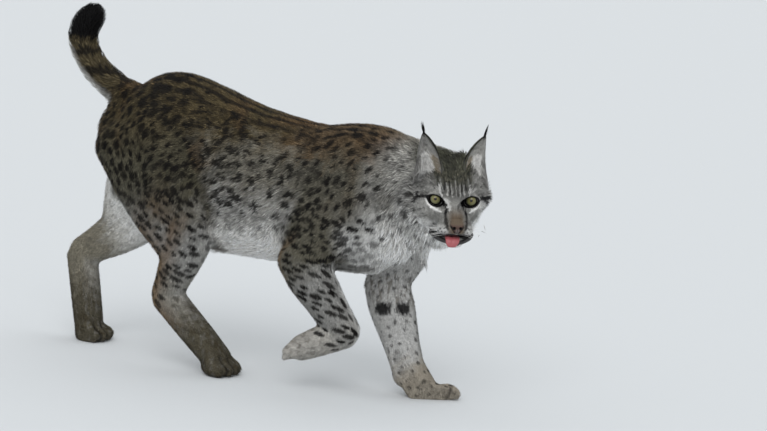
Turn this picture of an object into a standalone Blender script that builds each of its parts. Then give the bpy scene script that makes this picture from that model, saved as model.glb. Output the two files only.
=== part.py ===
"""A Eurasian lynx at life size, as a still model: it walks along +X with its right foreleg lifted and its
head turned to its right. +Y is its left side, +Z is up, and it stands on the floor at Z = 0.

The body is modelled whole from tapered masses, fused and smoothed, then parted with thin cuts. The head is
made finer, in its own frame, and so are the ears, eyes, tongue and locks."""

import math
import random

import bmesh
import bpy
import numpy as np
from mathutils import Matrix, Vector

for old in list(bpy.data.objects):
    bpy.data.objects.remove(old, do_unlink=True)

# Driving sizes, in metres. They are those of the coat, out to the tips of its hair.
RUMP_HEIGHT = 0.624
BACK_HEIGHT = 0.547
WITHERS_HEIGHT = 0.560
BELLY_HEIGHT = 0.243
CHEST_HALF_WIDTH = 0.098
LOIN_HALF_WIDTH = 0.092
THIGH_BONE = 0.190
SHANK_BONE = 0.195
HIND_FOOT = 0.178
UPPER_ARM = 0.180
FOREARM = 0.178
HAND = 0.105
TOE_LENGTH = 0.060
PUPIL_SPACING = 0.072
EYE_RADIUS = 0.0145
EAR_TUFT = 0.030
FRINGE_LENGTH = 0.030
RUFF_LOCKS = 10

# The belly fringe's rows: y, the first and the last lock's x, and how many locks. They stay clear of the legs.
FRINGE_ROWS = ((-0.034, -0.045, 0.025, 4), (0.002, -0.150, 0.130, 9), (0.034, -0.140, 0.120, 8))

# The pose: each bone's angle from straight down, positive forwards, in degrees.
HIP = {"right": (-0.285, -0.052, 0.442), "left": (-0.275, 0.052, 0.470)}
HIND_ANGLES = {"right": (52.0, -24.0, 50.0), "left": (-22.0, -57.0, 11.0)}
SHOULDER = {"right": (0.235, -0.078, 0.412), "left": (0.295, 0.078, 0.397)}
FORE_ANGLES = {"right": (-41.6, 36.0, -64.0), "left": (-18.0, 24.0, 40.0)}
KNEE_SPREAD = 0.024
HOCK_SPREAD = 0.004
ELBOW_SPREAD = 0.000
WRIST_SPREAD = -0.022
EYE_MIDPOINT = (0.475, -0.110, 0.441)
HEAD_YAW = -53.0
HEAD_PITCH = -6.0

# How finely the shapes are made.
GAP = 0.0004
BODY_VOXEL = 0.005
HEAD_VOXEL = 0.002
BODY_TRIANGLES = 4400
HEAD_TRIANGLES = 3000
FAR = 0.4
RING = 20

SIDES = {"right": -1, "left": 1}
DRAWS = random.Random(11)


def mesh_object(name, points, faces):
    """A mesh object from points and faces, with its faces pointing out."""
    mesh = bpy.data.meshes.new(name)
    mesh.from_pydata([tuple(p) for p in points], [], faces)
    obj = bpy.data.objects.new(name, mesh)
    bpy.context.scene.collection.objects.link(obj)
    form = bmesh.new()
    form.from_mesh(mesh)
    bmesh.ops.recalc_face_normals(form, faces=form.faces)
    if form.calc_volume(signed=True) < 0:
        bmesh.ops.reverse_faces(form, faces=form.faces)
    form.to_mesh(mesh)
    form.free()
    return obj


def through(rows, per_span=5):
    """Rows of numbers on a smooth Catmull-Rom curve through the given rows."""
    rows = np.array(rows, float)
    padded = np.vstack([2 * rows[0] - rows[1], rows, 2 * rows[-1] - rows[-2]])
    dense = []
    for before, start, end, after in zip(padded, padded[1:], padded[2:], padded[3:]):
        for t in np.arange(per_span) / per_span:
            dense.append(
                0.5 * (2 * start + (end - before) * t
                       + (2 * before - 5 * start + 4 * end - after) * t * t
                       + (3 * start - before - 3 * end + after) * t**3)
            )
    return np.array(dense + [rows[-1]])


def loft(name, rows, side=(0, 1, 0), side_end=None, per_span=5, ring=RING):
    """A closed tube through rows of x, y, z, half depth and half width, with domed ends.

    Each ring lies square to the path. Its width lies along side, which turns to side_end on the way."""
    rows = through(rows, per_span)
    centres = rows[:, :3]
    ahead = np.gradient(centres, axis=0)
    ahead /= np.linalg.norm(ahead, axis=1)[:, None]
    turn = np.linspace(0, 1, len(rows))[:, None]
    across = (1 - turn) * np.array(side, float) + turn * np.array(side_end or side, float)
    across -= (across * ahead).sum(1)[:, None] * ahead
    across /= np.linalg.norm(across, axis=1)[:, None]
    up = np.cross(ahead, across)
    rings = []
    dome = (0.96, 0.72)

    def ring_at(i, grow, shift):
        angle = np.linspace(0, 2 * math.pi, ring, endpoint=False)[:, None]
        middle = centres[i] + ahead[i] * shift
        return middle + grow * (rows[i, 3] * np.sin(angle) * up[i] + rows[i, 4] * np.cos(angle) * across[i])

    for grow in reversed(dome):
        rings.append(ring_at(0, grow, -math.sqrt(1 - grow**2) * rows[0, 3:].min()))
    rings += [ring_at(i, 1.0, 0.0) for i in range(len(rows))]
    for grow in dome:
        rings.append(ring_at(-1, grow, math.sqrt(1 - grow**2) * rows[-1, 3:].min()))
    points = np.vstack(rings)
    first = centres[0] - ahead[0] * rows[0, 3:].min()
    last = centres[-1] + ahead[-1] * rows[-1, 3:].min()
    faces = [
        (r * ring + i, r * ring + (i + 1) % ring, (r + 1) * ring + (i + 1) % ring, (r + 1) * ring + i)
        for r in range(len(rings) - 1)
        for i in range(ring)
    ]
    start, end = len(points), len(points) + 1
    top = (len(rings) - 1) * ring
    faces += [(start, (i + 1) % ring, i) for i in range(ring)]
    faces += [(end, top + i, top + (i + 1) % ring) for i in range(ring)]
    return mesh_object(name, np.vstack([points, first, last]), faces)


def muscle(name, start, end, girths, side=(0, 1, 0)):
    """A straight tapered mass from start to end. Each girth is (share of the way, half depth, half width)."""
    start, end = np.array(start, float), np.array(end, float)
    rows = [(*(start + share * (end - start)), deep, wide) for share, deep, wide in girths]
    return loft(name, rows, side)


def ellipsoid(name, centre, radii, yaw=0.0, pitch=0.0):
    """An ellipsoid with its first radius along its heading, turned by yaw and pitch in degrees."""
    form = bmesh.new()
    bmesh.ops.create_uvsphere(form, u_segments=18, v_segments=10, radius=1.0)
    turn = Matrix.Rotation(math.radians(yaw), 4, "Z") @ Matrix.Rotation(math.radians(-pitch), 4, "Y")
    place = Matrix.Translation(centre) @ turn @ Matrix.Diagonal((*radii, 1.0))
    bmesh.ops.transform(form, matrix=place, verts=form.verts)
    mesh = bpy.data.meshes.new(name)
    form.to_mesh(mesh)
    form.free()
    obj = bpy.data.objects.new(name, mesh)
    bpy.context.scene.collection.objects.link(obj)
    return obj


def keep_evaluated(obj):
    """Replaces the object's mesh by what its modifiers make of it."""
    graph = bpy.context.evaluated_depsgraph_get()
    graph.update()
    made = bpy.data.meshes.new_from_object(obj.evaluated_get(graph))
    obj.modifiers.clear()
    obj.data = made
    return obj


def joined(name, pieces):
    """The pieces as one object, still separate shells."""
    form = bmesh.new()
    for piece in pieces:
        piece.data.transform(piece.matrix_world)
        form.from_mesh(piece.data)
        bpy.data.objects.remove(piece, do_unlink=True)
    mesh = bpy.data.meshes.new(name)
    form.to_mesh(mesh)
    form.free()
    obj = bpy.data.objects.new(name, mesh)
    bpy.context.scene.collection.objects.link(obj)
    return obj


def fused(name, pieces, voxel, rounds, softness=None):
    """The pieces fused into one skin and smoothed. softness(points) gives each point's share of the smoothing."""
    obj = joined(name, pieces)
    remesh = obj.modifiers.new("fuse", "REMESH")
    remesh.mode = "VOXEL"
    remesh.voxel_size = voxel
    remesh.adaptivity = 0.0
    keep_evaluated(obj)
    smooth = obj.modifiers.new("soften", "SMOOTH")
    smooth.factor = 0.5
    smooth.iterations = rounds
    if softness:
        group = obj.vertex_groups.new(name="soft")
        points = np.array([v.co for v in obj.data.vertices])
        for index, share in enumerate(softness(points)):
            group.add([index], float(share), "REPLACE")
        smooth.vertex_group = "soft"
    keep_evaluated(obj)
    obj.vertex_groups.clear()
    return obj


def thinned(obj, triangles):
    """The object's mesh reduced to about that many triangles."""
    count = sum(len(face.vertices) - 2 for face in obj.data.polygons)
    decimate = obj.modifiers.new("thin", "DECIMATE")
    decimate.ratio = triangles / count
    decimate.use_collapse_triangulate = True
    return keep_evaluated(obj)


def combine(obj, others, operation):
    """One Boolean of the object with the closed meshes in others, which are then removed."""
    group = bpy.data.collections.new("operands")
    bpy.context.scene.collection.children.link(group)
    for other in others:
        group.objects.link(other)
    boolean = obj.modifiers.new("combine", "BOOLEAN")
    boolean.operation = operation
    boolean.operand_type = "COLLECTION"
    boolean.collection = group
    boolean.solver = "EXACT"
    boolean.use_self = operation == "UNION"
    keep_evaluated(obj)
    for other in list(others):
        bpy.data.objects.remove(other, do_unlink=True)
    bpy.data.collections.remove(group)
    return obj


def shells(obj):
    """The object's loose shells as new objects, and the object itself removed."""
    form = bmesh.new()
    form.from_mesh(obj.data)
    bmesh.ops.triangulate(form, faces=form.faces)
    left = set(form.verts)
    groups = []
    while left:
        found, edge = set(), [left.pop()]
        while edge:
            vert = edge.pop()
            found.add(vert)
            for link in vert.link_edges:
                other = link.other_vert(vert)
                if other in left:
                    left.discard(other)
                    edge.append(other)
        groups.append(found)
    made = []
    for found in groups:
        index = {vert: i for i, vert in enumerate(sorted(found, key=lambda v: v.index))}
        faces = [tuple(index[v] for v in face.verts) for face in form.faces if face.verts[0] in index]
        if faces:
            made.append(mesh_object("shell", [v.co for v in index], faces))
    form.free()
    bpy.data.objects.remove(obj, do_unlink=True)
    return made


def largest(obj, name):
    """The object reduced to its largest closed shell, under that name."""
    pieces = shells(obj)
    pieces.sort(key=lambda piece: Vector(piece.dimensions).length)
    for piece in pieces[:-1]:
        bpy.data.objects.remove(piece, do_unlink=True)
    pieces[-1].name = name
    pieces[-1].data.name = name
    return pieces[-1]


def slab(centre, normal, long, half_long, half_wide, thick=GAP):
    """A thin box that parts what it crosses: square to normal, half_long along long and half_wide across it."""
    normal = Vector(normal).normalized()
    long = (Vector(long) - Vector(long).dot(normal) * normal).normalized()
    wide = normal.cross(long)
    form = bmesh.new()
    bmesh.ops.create_cube(form, size=1.0)
    size = Matrix.Diagonal((2 * half_long, 2 * half_wide, thick, 1.0))
    turn = Matrix((long, wide, normal)).transposed().to_4x4()
    bmesh.ops.transform(form, matrix=Matrix.Translation(centre) @ turn @ size, verts=form.verts)
    mesh = bpy.data.meshes.new("slab")
    form.to_mesh(mesh)
    form.free()
    obj = bpy.data.objects.new("slab", mesh)
    obj.hide_render = True
    obj.display_type = "WIRE"
    bpy.context.scene.collection.objects.link(obj)
    return obj


def step(point, length, angle, spread=0.0):
    """The far end of a bone that leaves point at that angle from straight down."""
    turn = math.radians(angle)
    return (point[0] + length * math.sin(turn), point[1] + spread, point[2] - length * math.cos(turn))


def between(start, end, share):
    return tuple(a + share * (b - a) for a, b in zip(start, end))


def shifted(point, dx=0.0, dy=0.0, dz=0.0):
    return (point[0] + dx, point[1] + dy, point[2] + dz)


def hind_joints(side):
    """Hip, knee, hock and toe root of a hind leg."""
    out = SIDES[side]
    thigh, shank, foot = HIND_ANGLES[side]
    hip = HIP[side]
    knee = step(hip, THIGH_BONE, thigh, out * KNEE_SPREAD)
    hock = step(knee, SHANK_BONE, shank, -out * (KNEE_SPREAD - HOCK_SPREAD))
    return hip, knee, hock, step(hock, HIND_FOOT, foot)


def fore_joints(side):
    """Shoulder, elbow, wrist and toe root of a foreleg."""
    out = SIDES[side]
    arm, forearm, hand = FORE_ANGLES[side]
    shoulder = SHOULDER[side]
    elbow = step(shoulder, UPPER_ARM, arm, out * ELBOW_SPREAD)
    wrist = step(elbow, FOREARM, forearm, out * (WRIST_SPREAD - ELBOW_SPREAD))
    return shoulder, elbow, wrist, step(wrist, HAND, hand)


def toes(root, ahead, down, width, name):
    """Four toes side by side, fanned a little, that run on from root along ahead."""
    ahead, down = Vector(ahead).normalized(), Vector(down).normalized()
    across = ahead.cross(down)
    made = []
    for place in (-1.5, -0.5, 0.5, 1.5):
        reach = TOE_LENGTH * (0.52 if abs(place) > 1 else 0.66)
        fan = (ahead + across * place * 0.10).normalized()
        start = Vector(root) + across * place * width * 0.92
        middle = start + fan * reach * 0.55
        tip = start + fan * reach + down * 0.004
        girths = [(*start, 0.017, 0.0125), (*middle, 0.0175, 0.0145), (*tip, 0.0135, 0.0115)]
        made.append(loft(name, girths, side=tuple(across), per_span=2, ring=14))
    return made


def hind_leg(side):
    """The masses of a hind leg: haunch, hamstrings, knee, shank, hock, foot and toes."""
    out = SIDES[side]
    hip, knee, hock, toe = hind_joints(side)
    seat = shifted(hip, dx=-0.075, dz=0.015)
    made = [
        muscle("haunch", shifted(hip, dx=-0.01, dz=0.035), shifted(knee, dx=-0.02, dz=0.005),
               [(0.0, 0.085, 0.050), (0.45, 0.098, 0.054), (0.8, 0.078, 0.046), (1.0, 0.050, 0.038)]),
        muscle("hamstring", shifted(seat, dy=-out * 0.004), between(knee, hock, 0.50),
               [(0.0, 0.060, 0.048), (0.5, 0.062, 0.045), (1.0, 0.040, 0.032)]),
        muscle("shank", between(knee, hock, 0.02), hock,
               [(0.0, 0.054, 0.041), (0.4, 0.053, 0.038), (0.8, 0.040, 0.031), (1.0, 0.036, 0.029)]),
        muscle("heel_cord", between(knee, hock, 0.55), shifted(hock, dx=-0.010, dz=0.008),
               [(0.0, 0.036, 0.024), (1.0, 0.026, 0.019)]),
        muscle("foot", shifted(hock, dx=0.002), toe,
               [(0.0, 0.038, 0.030), (0.3, 0.037, 0.031), (0.75, 0.034, 0.034), (1.0, 0.029, 0.038)]),
    ]
    ground = shifted(toe, dz=0.017 - toe[2])
    made += toes(ground, (1, out * 0.06, 0), (0, 0, -1), 0.0225, "toe")
    made.append(ellipsoid("pad", shifted(ground, dx=0.0, dz=-0.003), (0.036, 0.036, 0.018)))
    return made


def foreleg(side):
    """The masses of a foreleg: shoulder blade, upper arm, elbow, forearm, wrist, hand and toes."""
    out = SIDES[side]
    shoulder, elbow, wrist, toe = fore_joints(side)
    blade_top = (shoulder[0] - 0.055, out * 0.036, WITHERS_HEIGHT - 0.050)
    lifted = side == "right"
    made = [
        muscle("blade", blade_top, shifted(shoulder, dy=-out * 0.012),
               [(0.0, 0.052, 0.034), (0.6, 0.082, 0.042), (1.0, 0.072, 0.044)]),
        muscle("upper_arm", shifted(shoulder, dy=-out * 0.010), shifted(elbow, dx=0.010, dz=0.005),
               [(0.0, 0.072, 0.042), (0.6, 0.066, 0.040), (1.0, 0.044, 0.035)]),
        muscle("forearm", shifted(elbow, dx=-0.004), wrist,
               [(0.0, 0.050, 0.039), (0.3, 0.053, 0.040), (0.75, 0.041, 0.034), (1.0, 0.037, 0.033)]),
        muscle("hand", wrist, toe,
               [(0.0, 0.036, 0.032), (0.5, 0.033, 0.036), (1.0, 0.029, 0.038)]),
    ]
    if lifted:
        ahead = Vector(toe) - Vector(wrist)
        down = Vector((-ahead.z, 0, ahead.x)) * -1
        made += toes(toe, ahead, -down, 0.0225, "toe")
        made.append(ellipsoid("pad", shifted(toe, dz=0.010), (0.036, 0.034, 0.018), pitch=25))
    else:
        ground = shifted(toe, dz=0.017 - toe[2])
        made += toes(ground, (1, -0.10, 0), (0, 0, -1), 0.0235, "toe")
        made.append(ellipsoid("pad", shifted(ground, dz=-0.003), (0.036, 0.037, 0.018)))
        made.append(ellipsoid("wrist_pad", shifted(wrist, dx=-0.006, dz=-0.022), (0.026, 0.026, 0.026)))
    return made


def trunk():
    """The trunk from the buttocks to the breast. Each row gives the top line, the belly line and half width."""
    outline = [
        (-0.385, RUMP_HEIGHT - 0.078, 0.410, 0.056),
        (-0.335, RUMP_HEIGHT - 0.022, 0.335, 0.080),
        (-0.265, RUMP_HEIGHT, 0.285, 0.090),
        (-0.170, RUMP_HEIGHT - 0.022, BELLY_HEIGHT + 0.012, LOIN_HALF_WIDTH),
        (-0.080, RUMP_HEIGHT - 0.048, BELLY_HEIGHT, LOIN_HALF_WIDTH + 0.004),
        (0.020, BACK_HEIGHT + 0.010, BELLY_HEIGHT, CHEST_HALF_WIDTH + 0.002),
        (0.120, BACK_HEIGHT, BELLY_HEIGHT + 0.001, CHEST_HALF_WIDTH + 0.004),
        (0.210, WITHERS_HEIGHT, BELLY_HEIGHT, CHEST_HALF_WIDTH),
        (0.275, WITHERS_HEIGHT - 0.010, BELLY_HEIGHT + 0.006, CHEST_HALF_WIDTH - 0.008),
        (0.325, WITHERS_HEIGHT - 0.055, BELLY_HEIGHT + 0.038, 0.076),
        (0.350, WITHERS_HEIGHT - 0.100, BELLY_HEIGHT + 0.078, 0.055),
    ]
    rows = [(x, 0.0, (top + low) / 2, (top - low) / 2, wide) for x, top, low, wide in outline]
    return loft("trunk", rows, ring=32)


def neck():
    """The neck, which turns from the breast towards the head's heading."""
    heading = math.radians(HEAD_YAW)
    rows = [
        (0.215, 0.000, 0.438, 0.118, 0.095),
        (0.290, -0.002, 0.435, 0.111, 0.093),
        (0.350, -0.004, 0.433, 0.103, 0.088),
        (0.400, -0.014, 0.433, 0.096, 0.083),
        (0.434, -0.038, 0.434, 0.085, 0.076),
    ]
    return loft("neck", rows, side_end=(-math.sin(heading), math.cos(heading), 0), ring=28)


def tail():
    """The short tail, held up over the back, as thick at its tip as at its root."""
    rows = [
        (-0.330, 0.0, 0.534, 0.046, 0.044),
        (-0.385, 0.0, 0.556, 0.037, 0.036),
        (-0.428, 0.0, 0.580, 0.034, 0.033),
        (-0.464, 0.0, 0.606, 0.033, 0.032),
        (-0.490, 0.0, 0.640, 0.033, 0.032),
        (-0.498, 0.0, 0.670, 0.034, 0.033),
        (-0.488, 0.0, 0.698, 0.034, 0.033),
        (-0.474, 0.0, 0.714, 0.030, 0.029),
    ]
    return loft("tail", rows, ring=20)


# The head, in its own frame: x runs forwards from between the eyes, y to its left, z up.
HEAD = (
    Matrix.Translation(EYE_MIDPOINT)
    @ Matrix.Rotation(math.radians(HEAD_YAW), 4, "Z")
    @ Matrix.Rotation(math.radians(-HEAD_PITCH), 4, "Y")
)
EYE_SET = -0.0078
EYE_AIM = 0.28
LIP = 0.0034


def in_head(obj):
    """Puts an object that was made in the head's frame where the head is."""
    obj.data.transform(HEAD)
    return obj


def head_masses():
    """The masses of the head: skull, jaw, cheeks, brows, bridge of the nose, whisker pads and lids."""
    skull = [
        (-0.118, 44, -52, 50), (-0.095, 57, -62, 59), (-0.065, 59, -68, 63), (-0.040, 53, -68, 61),
        (-0.016, 37, -68, 52), (0.000, 18, -68, 43), (0.014, 1, -67, 34), (0.030, -12, -66, 31),
        (0.043, -21, -63, 27), (0.051, -27, -58, 20),
    ]
    jaw = [(-0.050, -36, -88, 47), (-0.012, -46, -88, 40), (0.014, -55, -87, 31), (0.033, -62, -86, 22),
           (0.044, -66, -84, 16)]

    def profile(rows):
        return [(x, 0, (top + low) / 2000, (top - low) / 2000, wide / 1000) for x, top, low, wide in rows]

    made = [loft("skull", profile(skull), ring=28), loft("jaw", profile(jaw), ring=20)]
    made.append(muscle("bridge", (-0.008, 0, 0.010), (0.049, 0, -0.034),
                       [(0.0, 0.020, 0.021), (0.5, 0.015, 0.016), (1.0, 0.011, 0.014)]))
    made.append(ellipsoid("chin", (0.032, 0, -0.074), (0.018, 0.019, 0.013)))
    for line in ([(2, 40, -61), (26, 32, -58), (45, 19, -57), (54.5, 0, -55.5)],
                 [(2, 39, -66), (26, 28, -71), (42, 15, -73), (50, 0, -73.5)]):
        line += [(x, -y, z) for x, y, z in reversed(line[:-1])]
        rows = [(x / 1000, y / 1000, z / 1000, LIP, LIP) for x, y, z in line]
        made.append(loft("lip", rows, side=(0, 0, 1), per_span=4, ring=10))
    for out in (-1, 1):
        made += [
            ellipsoid("cheek", (-0.036, out * 0.040, -0.026), (0.046, 0.030, 0.040)),
            ellipsoid("brow", (-0.014, out * 0.027, 0.013), (0.018, 0.020, 0.012)),
            ellipsoid("whisker_pad", (0.036, out * 0.0165, -0.047), (0.021, 0.0165, 0.0150)),
            ellipsoid("lids", (EYE_SET, out * PUPIL_SPACING / 2, 0.0), (EYE_RADIUS + 0.0035,) * 3),
        ]
    return [in_head(piece) for piece in made]


def lock(root, ahead, flat, length, width, droop):
    """One lock of long hair: a flat blade, widest near its root, that bends towards droop and ends in a point.

    Its middle runs through root + ahead * length * s + droop * length * s * s for s from 0 to 1."""
    ahead, flat = Vector(ahead).normalized(), Vector(flat).normalized()
    across = ahead.cross(flat).normalized()
    points = []
    for s, share in ((0.0, 0.80), (0.40, 1.0), (0.75, 0.60)):
        middle = root + ahead * length * s + droop * length * s * s
        for side, lift in ((1, 0), (0, 1), (-1, 0), (0, -1)):
            points.append(middle + across * side * share * width / 2 + flat * lift * share * width * 0.16)
    points.append(root + ahead * length + droop * length)
    faces = [(3, 2, 1, 0)] + [(8 + i, 8 + (i + 1) % 4, 12) for i in range(4)]
    faces += [(r + i, r + (i + 1) % 4, r + 4 + (i + 1) % 4, r + 4 + i) for r in (0, 4) for i in range(4)]
    return mesh_object("lock", points, faces)


def ruff(head, out):
    """The ruff's locks on one side: two rows from below the ear round to the throat, lying back and down."""
    made = []
    turn = HEAD.to_3x3()
    for row, (level, reach, sink) in enumerate(((-0.074, 0.047, 0.010), (-0.050, 0.044, 0.009))):
        for i in range(RUFF_LOCKS):
            share = (i + 0.5 * row) / (RUFF_LOCKS - 0.5)
            angle = math.radians(19 - 71 * share + DRAWS.uniform(-2, 2))
            seed = Vector((level + 0.022 * share, out * 0.085 * math.cos(angle), -0.010 + 0.085 * math.sin(angle)))
            found, place, normal, index = head.closest_point_on_mesh(HEAD @ seed)
            back = turn @ Vector((-0.66, 0.0, -0.25 - 0.40 * share))
            ahead = (normal * 0.55 + back).normalized()
            length = reach * (0.82 + 0.16 * share) * DRAWS.uniform(0.88, 1.12)
            droop = Vector((0, 0, -0.22)) - normal * 0.10
            made.append(lock(place - ahead * sink, ahead, normal, length + sink, 0.019 * DRAWS.uniform(0.85, 1.15),
                             droop))
    return made


def ear_tuft(out):
    """The black tuft at an ear's tip: a few long locks that stand up and lean out a little."""
    tip = HEAD @ Vector((EAR_TIP[0], out * EAR_TIP[1], EAR_TIP[2]))
    turn = HEAD.to_3x3()
    made = []
    for i in range(3):
        lean = Vector((0.10 - 0.14 * i, out * (0.04 + 0.09 * i), 1.0))
        ahead = (turn @ lean).normalized()
        length = EAR_TUFT * (1.0 - 0.16 * i)
        droop = turn @ Vector((-0.10, out * 0.12, 0.0))
        flat = turn @ Vector((1.0, out * 0.5, 0.0))
        made.append(lock(tip - ahead * 0.010, ahead, flat, length + 0.010, 0.0042, droop))
    return made


def belly_fringe(torso):
    """The longer hair along the belly, in three rows that lie back and hang a little."""
    made = []
    for y, start, end, count in FRINGE_ROWS:
        for i in range(count):
            x = start + (end - start) * i / (count - 1)
            seed = Vector((x, y + DRAWS.uniform(-0.004, 0.004), BELLY_HEIGHT - 0.02))
            found, place, normal, index = torso.closest_point_on_mesh(seed)
            ahead = (Vector((-0.78, 1.8 * y, -0.40)) + normal * 0.15).normalized()
            length = FRINGE_LENGTH * DRAWS.uniform(0.85, 1.15)
            flat = Vector((0.0, 1.0, DRAWS.uniform(-0.4, 0.4)))
            made.append(lock(place - ahead * 0.012, ahead, flat, length + 0.012, 0.024, Vector((0, 0, -0.20))))
    return made


def opening(out):
    """The cutter of one eye's opening: an almond that runs out from the eyeball along its aim."""
    slant = math.radians(22)
    centre = Vector((EYE_SET, out * PUPIL_SPACING / 2, 0))
    ahead = Vector((math.cos(EYE_AIM), out * math.sin(EYE_AIM), 0))
    across = Vector((-ahead.y, ahead.x, 0)) * out
    wide = across * math.cos(slant) + Vector((0, 0, 1)) * math.sin(slant)
    tall = ahead.cross(wide) * out
    if tall.z < 0:
        tall = -tall
    turns = 20
    points = []
    for depth, flare in ((0.002, 0.90), (0.014, 1.0), (0.034, 2.1)):
        for i in range(turns):
            angle = 2 * math.pi * i / turns
            height = 0.0092 if math.sin(angle) > 0 else 0.0080
            points.append(centre + ahead * depth + wide * 0.0128 * flare * math.cos(angle)
                          + tall * height * flare * math.sin(angle) * abs(math.sin(angle)) ** 0.25)
    faces = [
        (r * turns + i, r * turns + (i + 1) % turns, (r + 1) * turns + (i + 1) % turns, (r + 1) * turns + i)
        for r in (0, 1)
        for i in range(turns)
    ]
    faces += [tuple(range(turns)), tuple(range(2 * turns, 3 * turns))]
    return in_head(mesh_object("opening", points, faces))


def eyeball(name, out, grow=0.0):
    """An eyeball, or with grow the socket round it."""
    centre = (EYE_SET, out * PUPIL_SPACING / 2, 0)
    return in_head(ellipsoid(name, centre, (EYE_RADIUS + grow,) * 3))


def nose(grow=0.0):
    """The nose pad, broad above and narrow below."""
    rows = [
        (0.0540, 0, -0.0285, 0.0068, 0.0115),
        (0.0575, 0, -0.0345, 0.0085, 0.0138),
        (0.0585, 0, -0.0405, 0.0080, 0.0122),
        (0.0575, 0, -0.0465, 0.0065, 0.0070),
        (0.0550, 0, -0.0520, 0.0045, 0.0028),
    ]
    rows = [(x, y, z, deep + grow, wide + grow) for x, y, z, deep, wide in rows]
    return in_head(loft("nose", rows, per_span=2, ring=12))


def nostril(out):
    """The cutter of one nostril: it runs in and outwards, with a slit towards the side."""
    rows = [
        (0.0700, out * 0.0050, -0.0395, 0.0028, 0.0026),
        (0.0590, out * 0.0066, -0.0385, 0.0026, 0.0030),
        (0.0520, out * 0.0085, -0.0375, 0.0020, 0.0024),
    ]
    return in_head(loft("nostril", rows, per_span=2, ring=10))


def mouth():
    """The cutter of the mouth: a wedge that opens forwards, highest at the middle of the lips."""
    columns, rows = 11, 6
    points = []
    for top in (1, -1):
        for i in range(rows):
            along = i / (rows - 1)
            for j in range(columns):
                y = -0.056 + 0.112 * j / (columns - 1)
                x = 0.002 + 0.080 * along + 0.10 * y * y / 0.056
                gape = 0.0008 + 0.0072 * min(1.0, max(0.0, (x - 0.006) / 0.040))
                line = -0.0630 + 0.0010 * math.cos(y / 0.012) - 0.010 * max(0.0, x - 0.02)
                points.append((x, y, line + top * gape))
    layer = rows * columns
    faces = []
    for i in range(rows - 1):
        for j in range(columns - 1):
            a = i * columns + j
            quad = (a, a + 1, a + columns + 1, a + columns)
            faces += [quad, tuple(layer + p for p in quad)]
    border = [j for j in range(columns)] + [i * columns + columns - 1 for i in range(1, rows)]
    border += [(rows - 1) * columns + j for j in range(columns - 2, -1, -1)]
    border += [i * columns for i in range(rows - 2, 0, -1)]
    faces += [(a, b, layer + b, layer + a) for a, b in zip(border, border[1:] + border[:1])]
    return in_head(mesh_object("mouth", points, faces))


def tongue(grow=0.0):
    """The tongue, laid over the lower lip with its tip curled down."""
    rows = [
        (0.0100, -0.002, -0.0655, 0.0030, 0.0130),
        (0.0300, -0.003, -0.0645, 0.0034, 0.0150),
        (0.0460, -0.005, -0.0640, 0.0036, 0.0155),
        (0.0545, -0.006, -0.0665, 0.0034, 0.0150),
        (0.0580, -0.007, -0.0720, 0.0031, 0.0135),
        (0.0585, -0.007, -0.0780, 0.0026, 0.0100),
    ]
    rows = [(x, y, z, deep + grow, wide + grow) for x, y, z, deep, wide in rows]
    return in_head(loft("tongue", rows, per_span=2, ring=12))


EAR_ROOT = (-0.058, 0.044, 0.046)
EAR_TIP = (-0.060, 0.062, 0.119)


def ear(out):
    """A cupped ear: a pointed sheet bent round its own axis and open forwards and outwards."""
    root, tip = (Vector((x, out * y, z)) for x, y, z in (EAR_ROOT, EAR_TIP))
    axis = (tip - root).normalized()
    root = root - axis * 0.022
    height = (tip - root).length
    facing = Vector((0.87, out * 0.50, 0.0))
    facing = (facing - facing.dot(axis) * axis).normalized()
    across = axis.cross(facing)
    rows, columns = 8, 8
    thick = 0.0022
    points = []
    for layer in (0, 1):
        for i in range(rows):
            up = i / (rows - 1)
            half = 0.0025 + 0.0300 * (1 - up) ** 0.72 * (0.92 + 0.50 * up)
            bend = math.radians(100 - 52 * up)
            radius = half / math.sin(min(bend, math.pi / 2))
            wall = thick * (1 - 0.55 * up)
            lean = 0.010 * math.sin(math.pi * up)
            for j in range(columns + 1):
                angle = bend * (2 * j / columns - 1)
                reach = radius + (wall if layer else -wall)
                centre = root + axis * height * up - facing * lean + facing * radius * 0.55
                points.append(centre - facing * reach * math.cos(angle) + across * reach * math.sin(angle))
    side = rows * (columns + 1)
    faces = []
    for i in range(rows - 1):
        for j in range(columns):
            a = i * (columns + 1) + j
            quad = (a, a + 1, a + columns + 2, a + columns + 1)
            faces += [quad, tuple(side + p for p in quad)]
    border = list(range(columns + 1)) + [i * (columns + 1) + columns for i in range(1, rows)]
    border += [(rows - 1) * (columns + 1) + j for j in range(columns - 1, -1, -1)]
    border += [i * (columns + 1) for i in range(rows - 2, 0, -1)]
    faces += [(a, b, side + b, side + a) for a, b in zip(border, border[1:] + border[:1])]
    return in_head(mesh_object("ear", points, faces))


def half_space(point, normal, grow=0.0):
    """A large box whose face passes through point, with the box on the side that normal points to."""
    normal = Vector(normal).normalized()
    other = Vector((0, 0, 1)) if abs(normal.z) < 0.9 else Vector((1, 0, 0))
    centre = Vector(point) + normal * (FAR - grow)
    box = slab(centre, normal, other, 2 * FAR, 2 * FAR, thick=2 * FAR)
    return box


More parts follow.
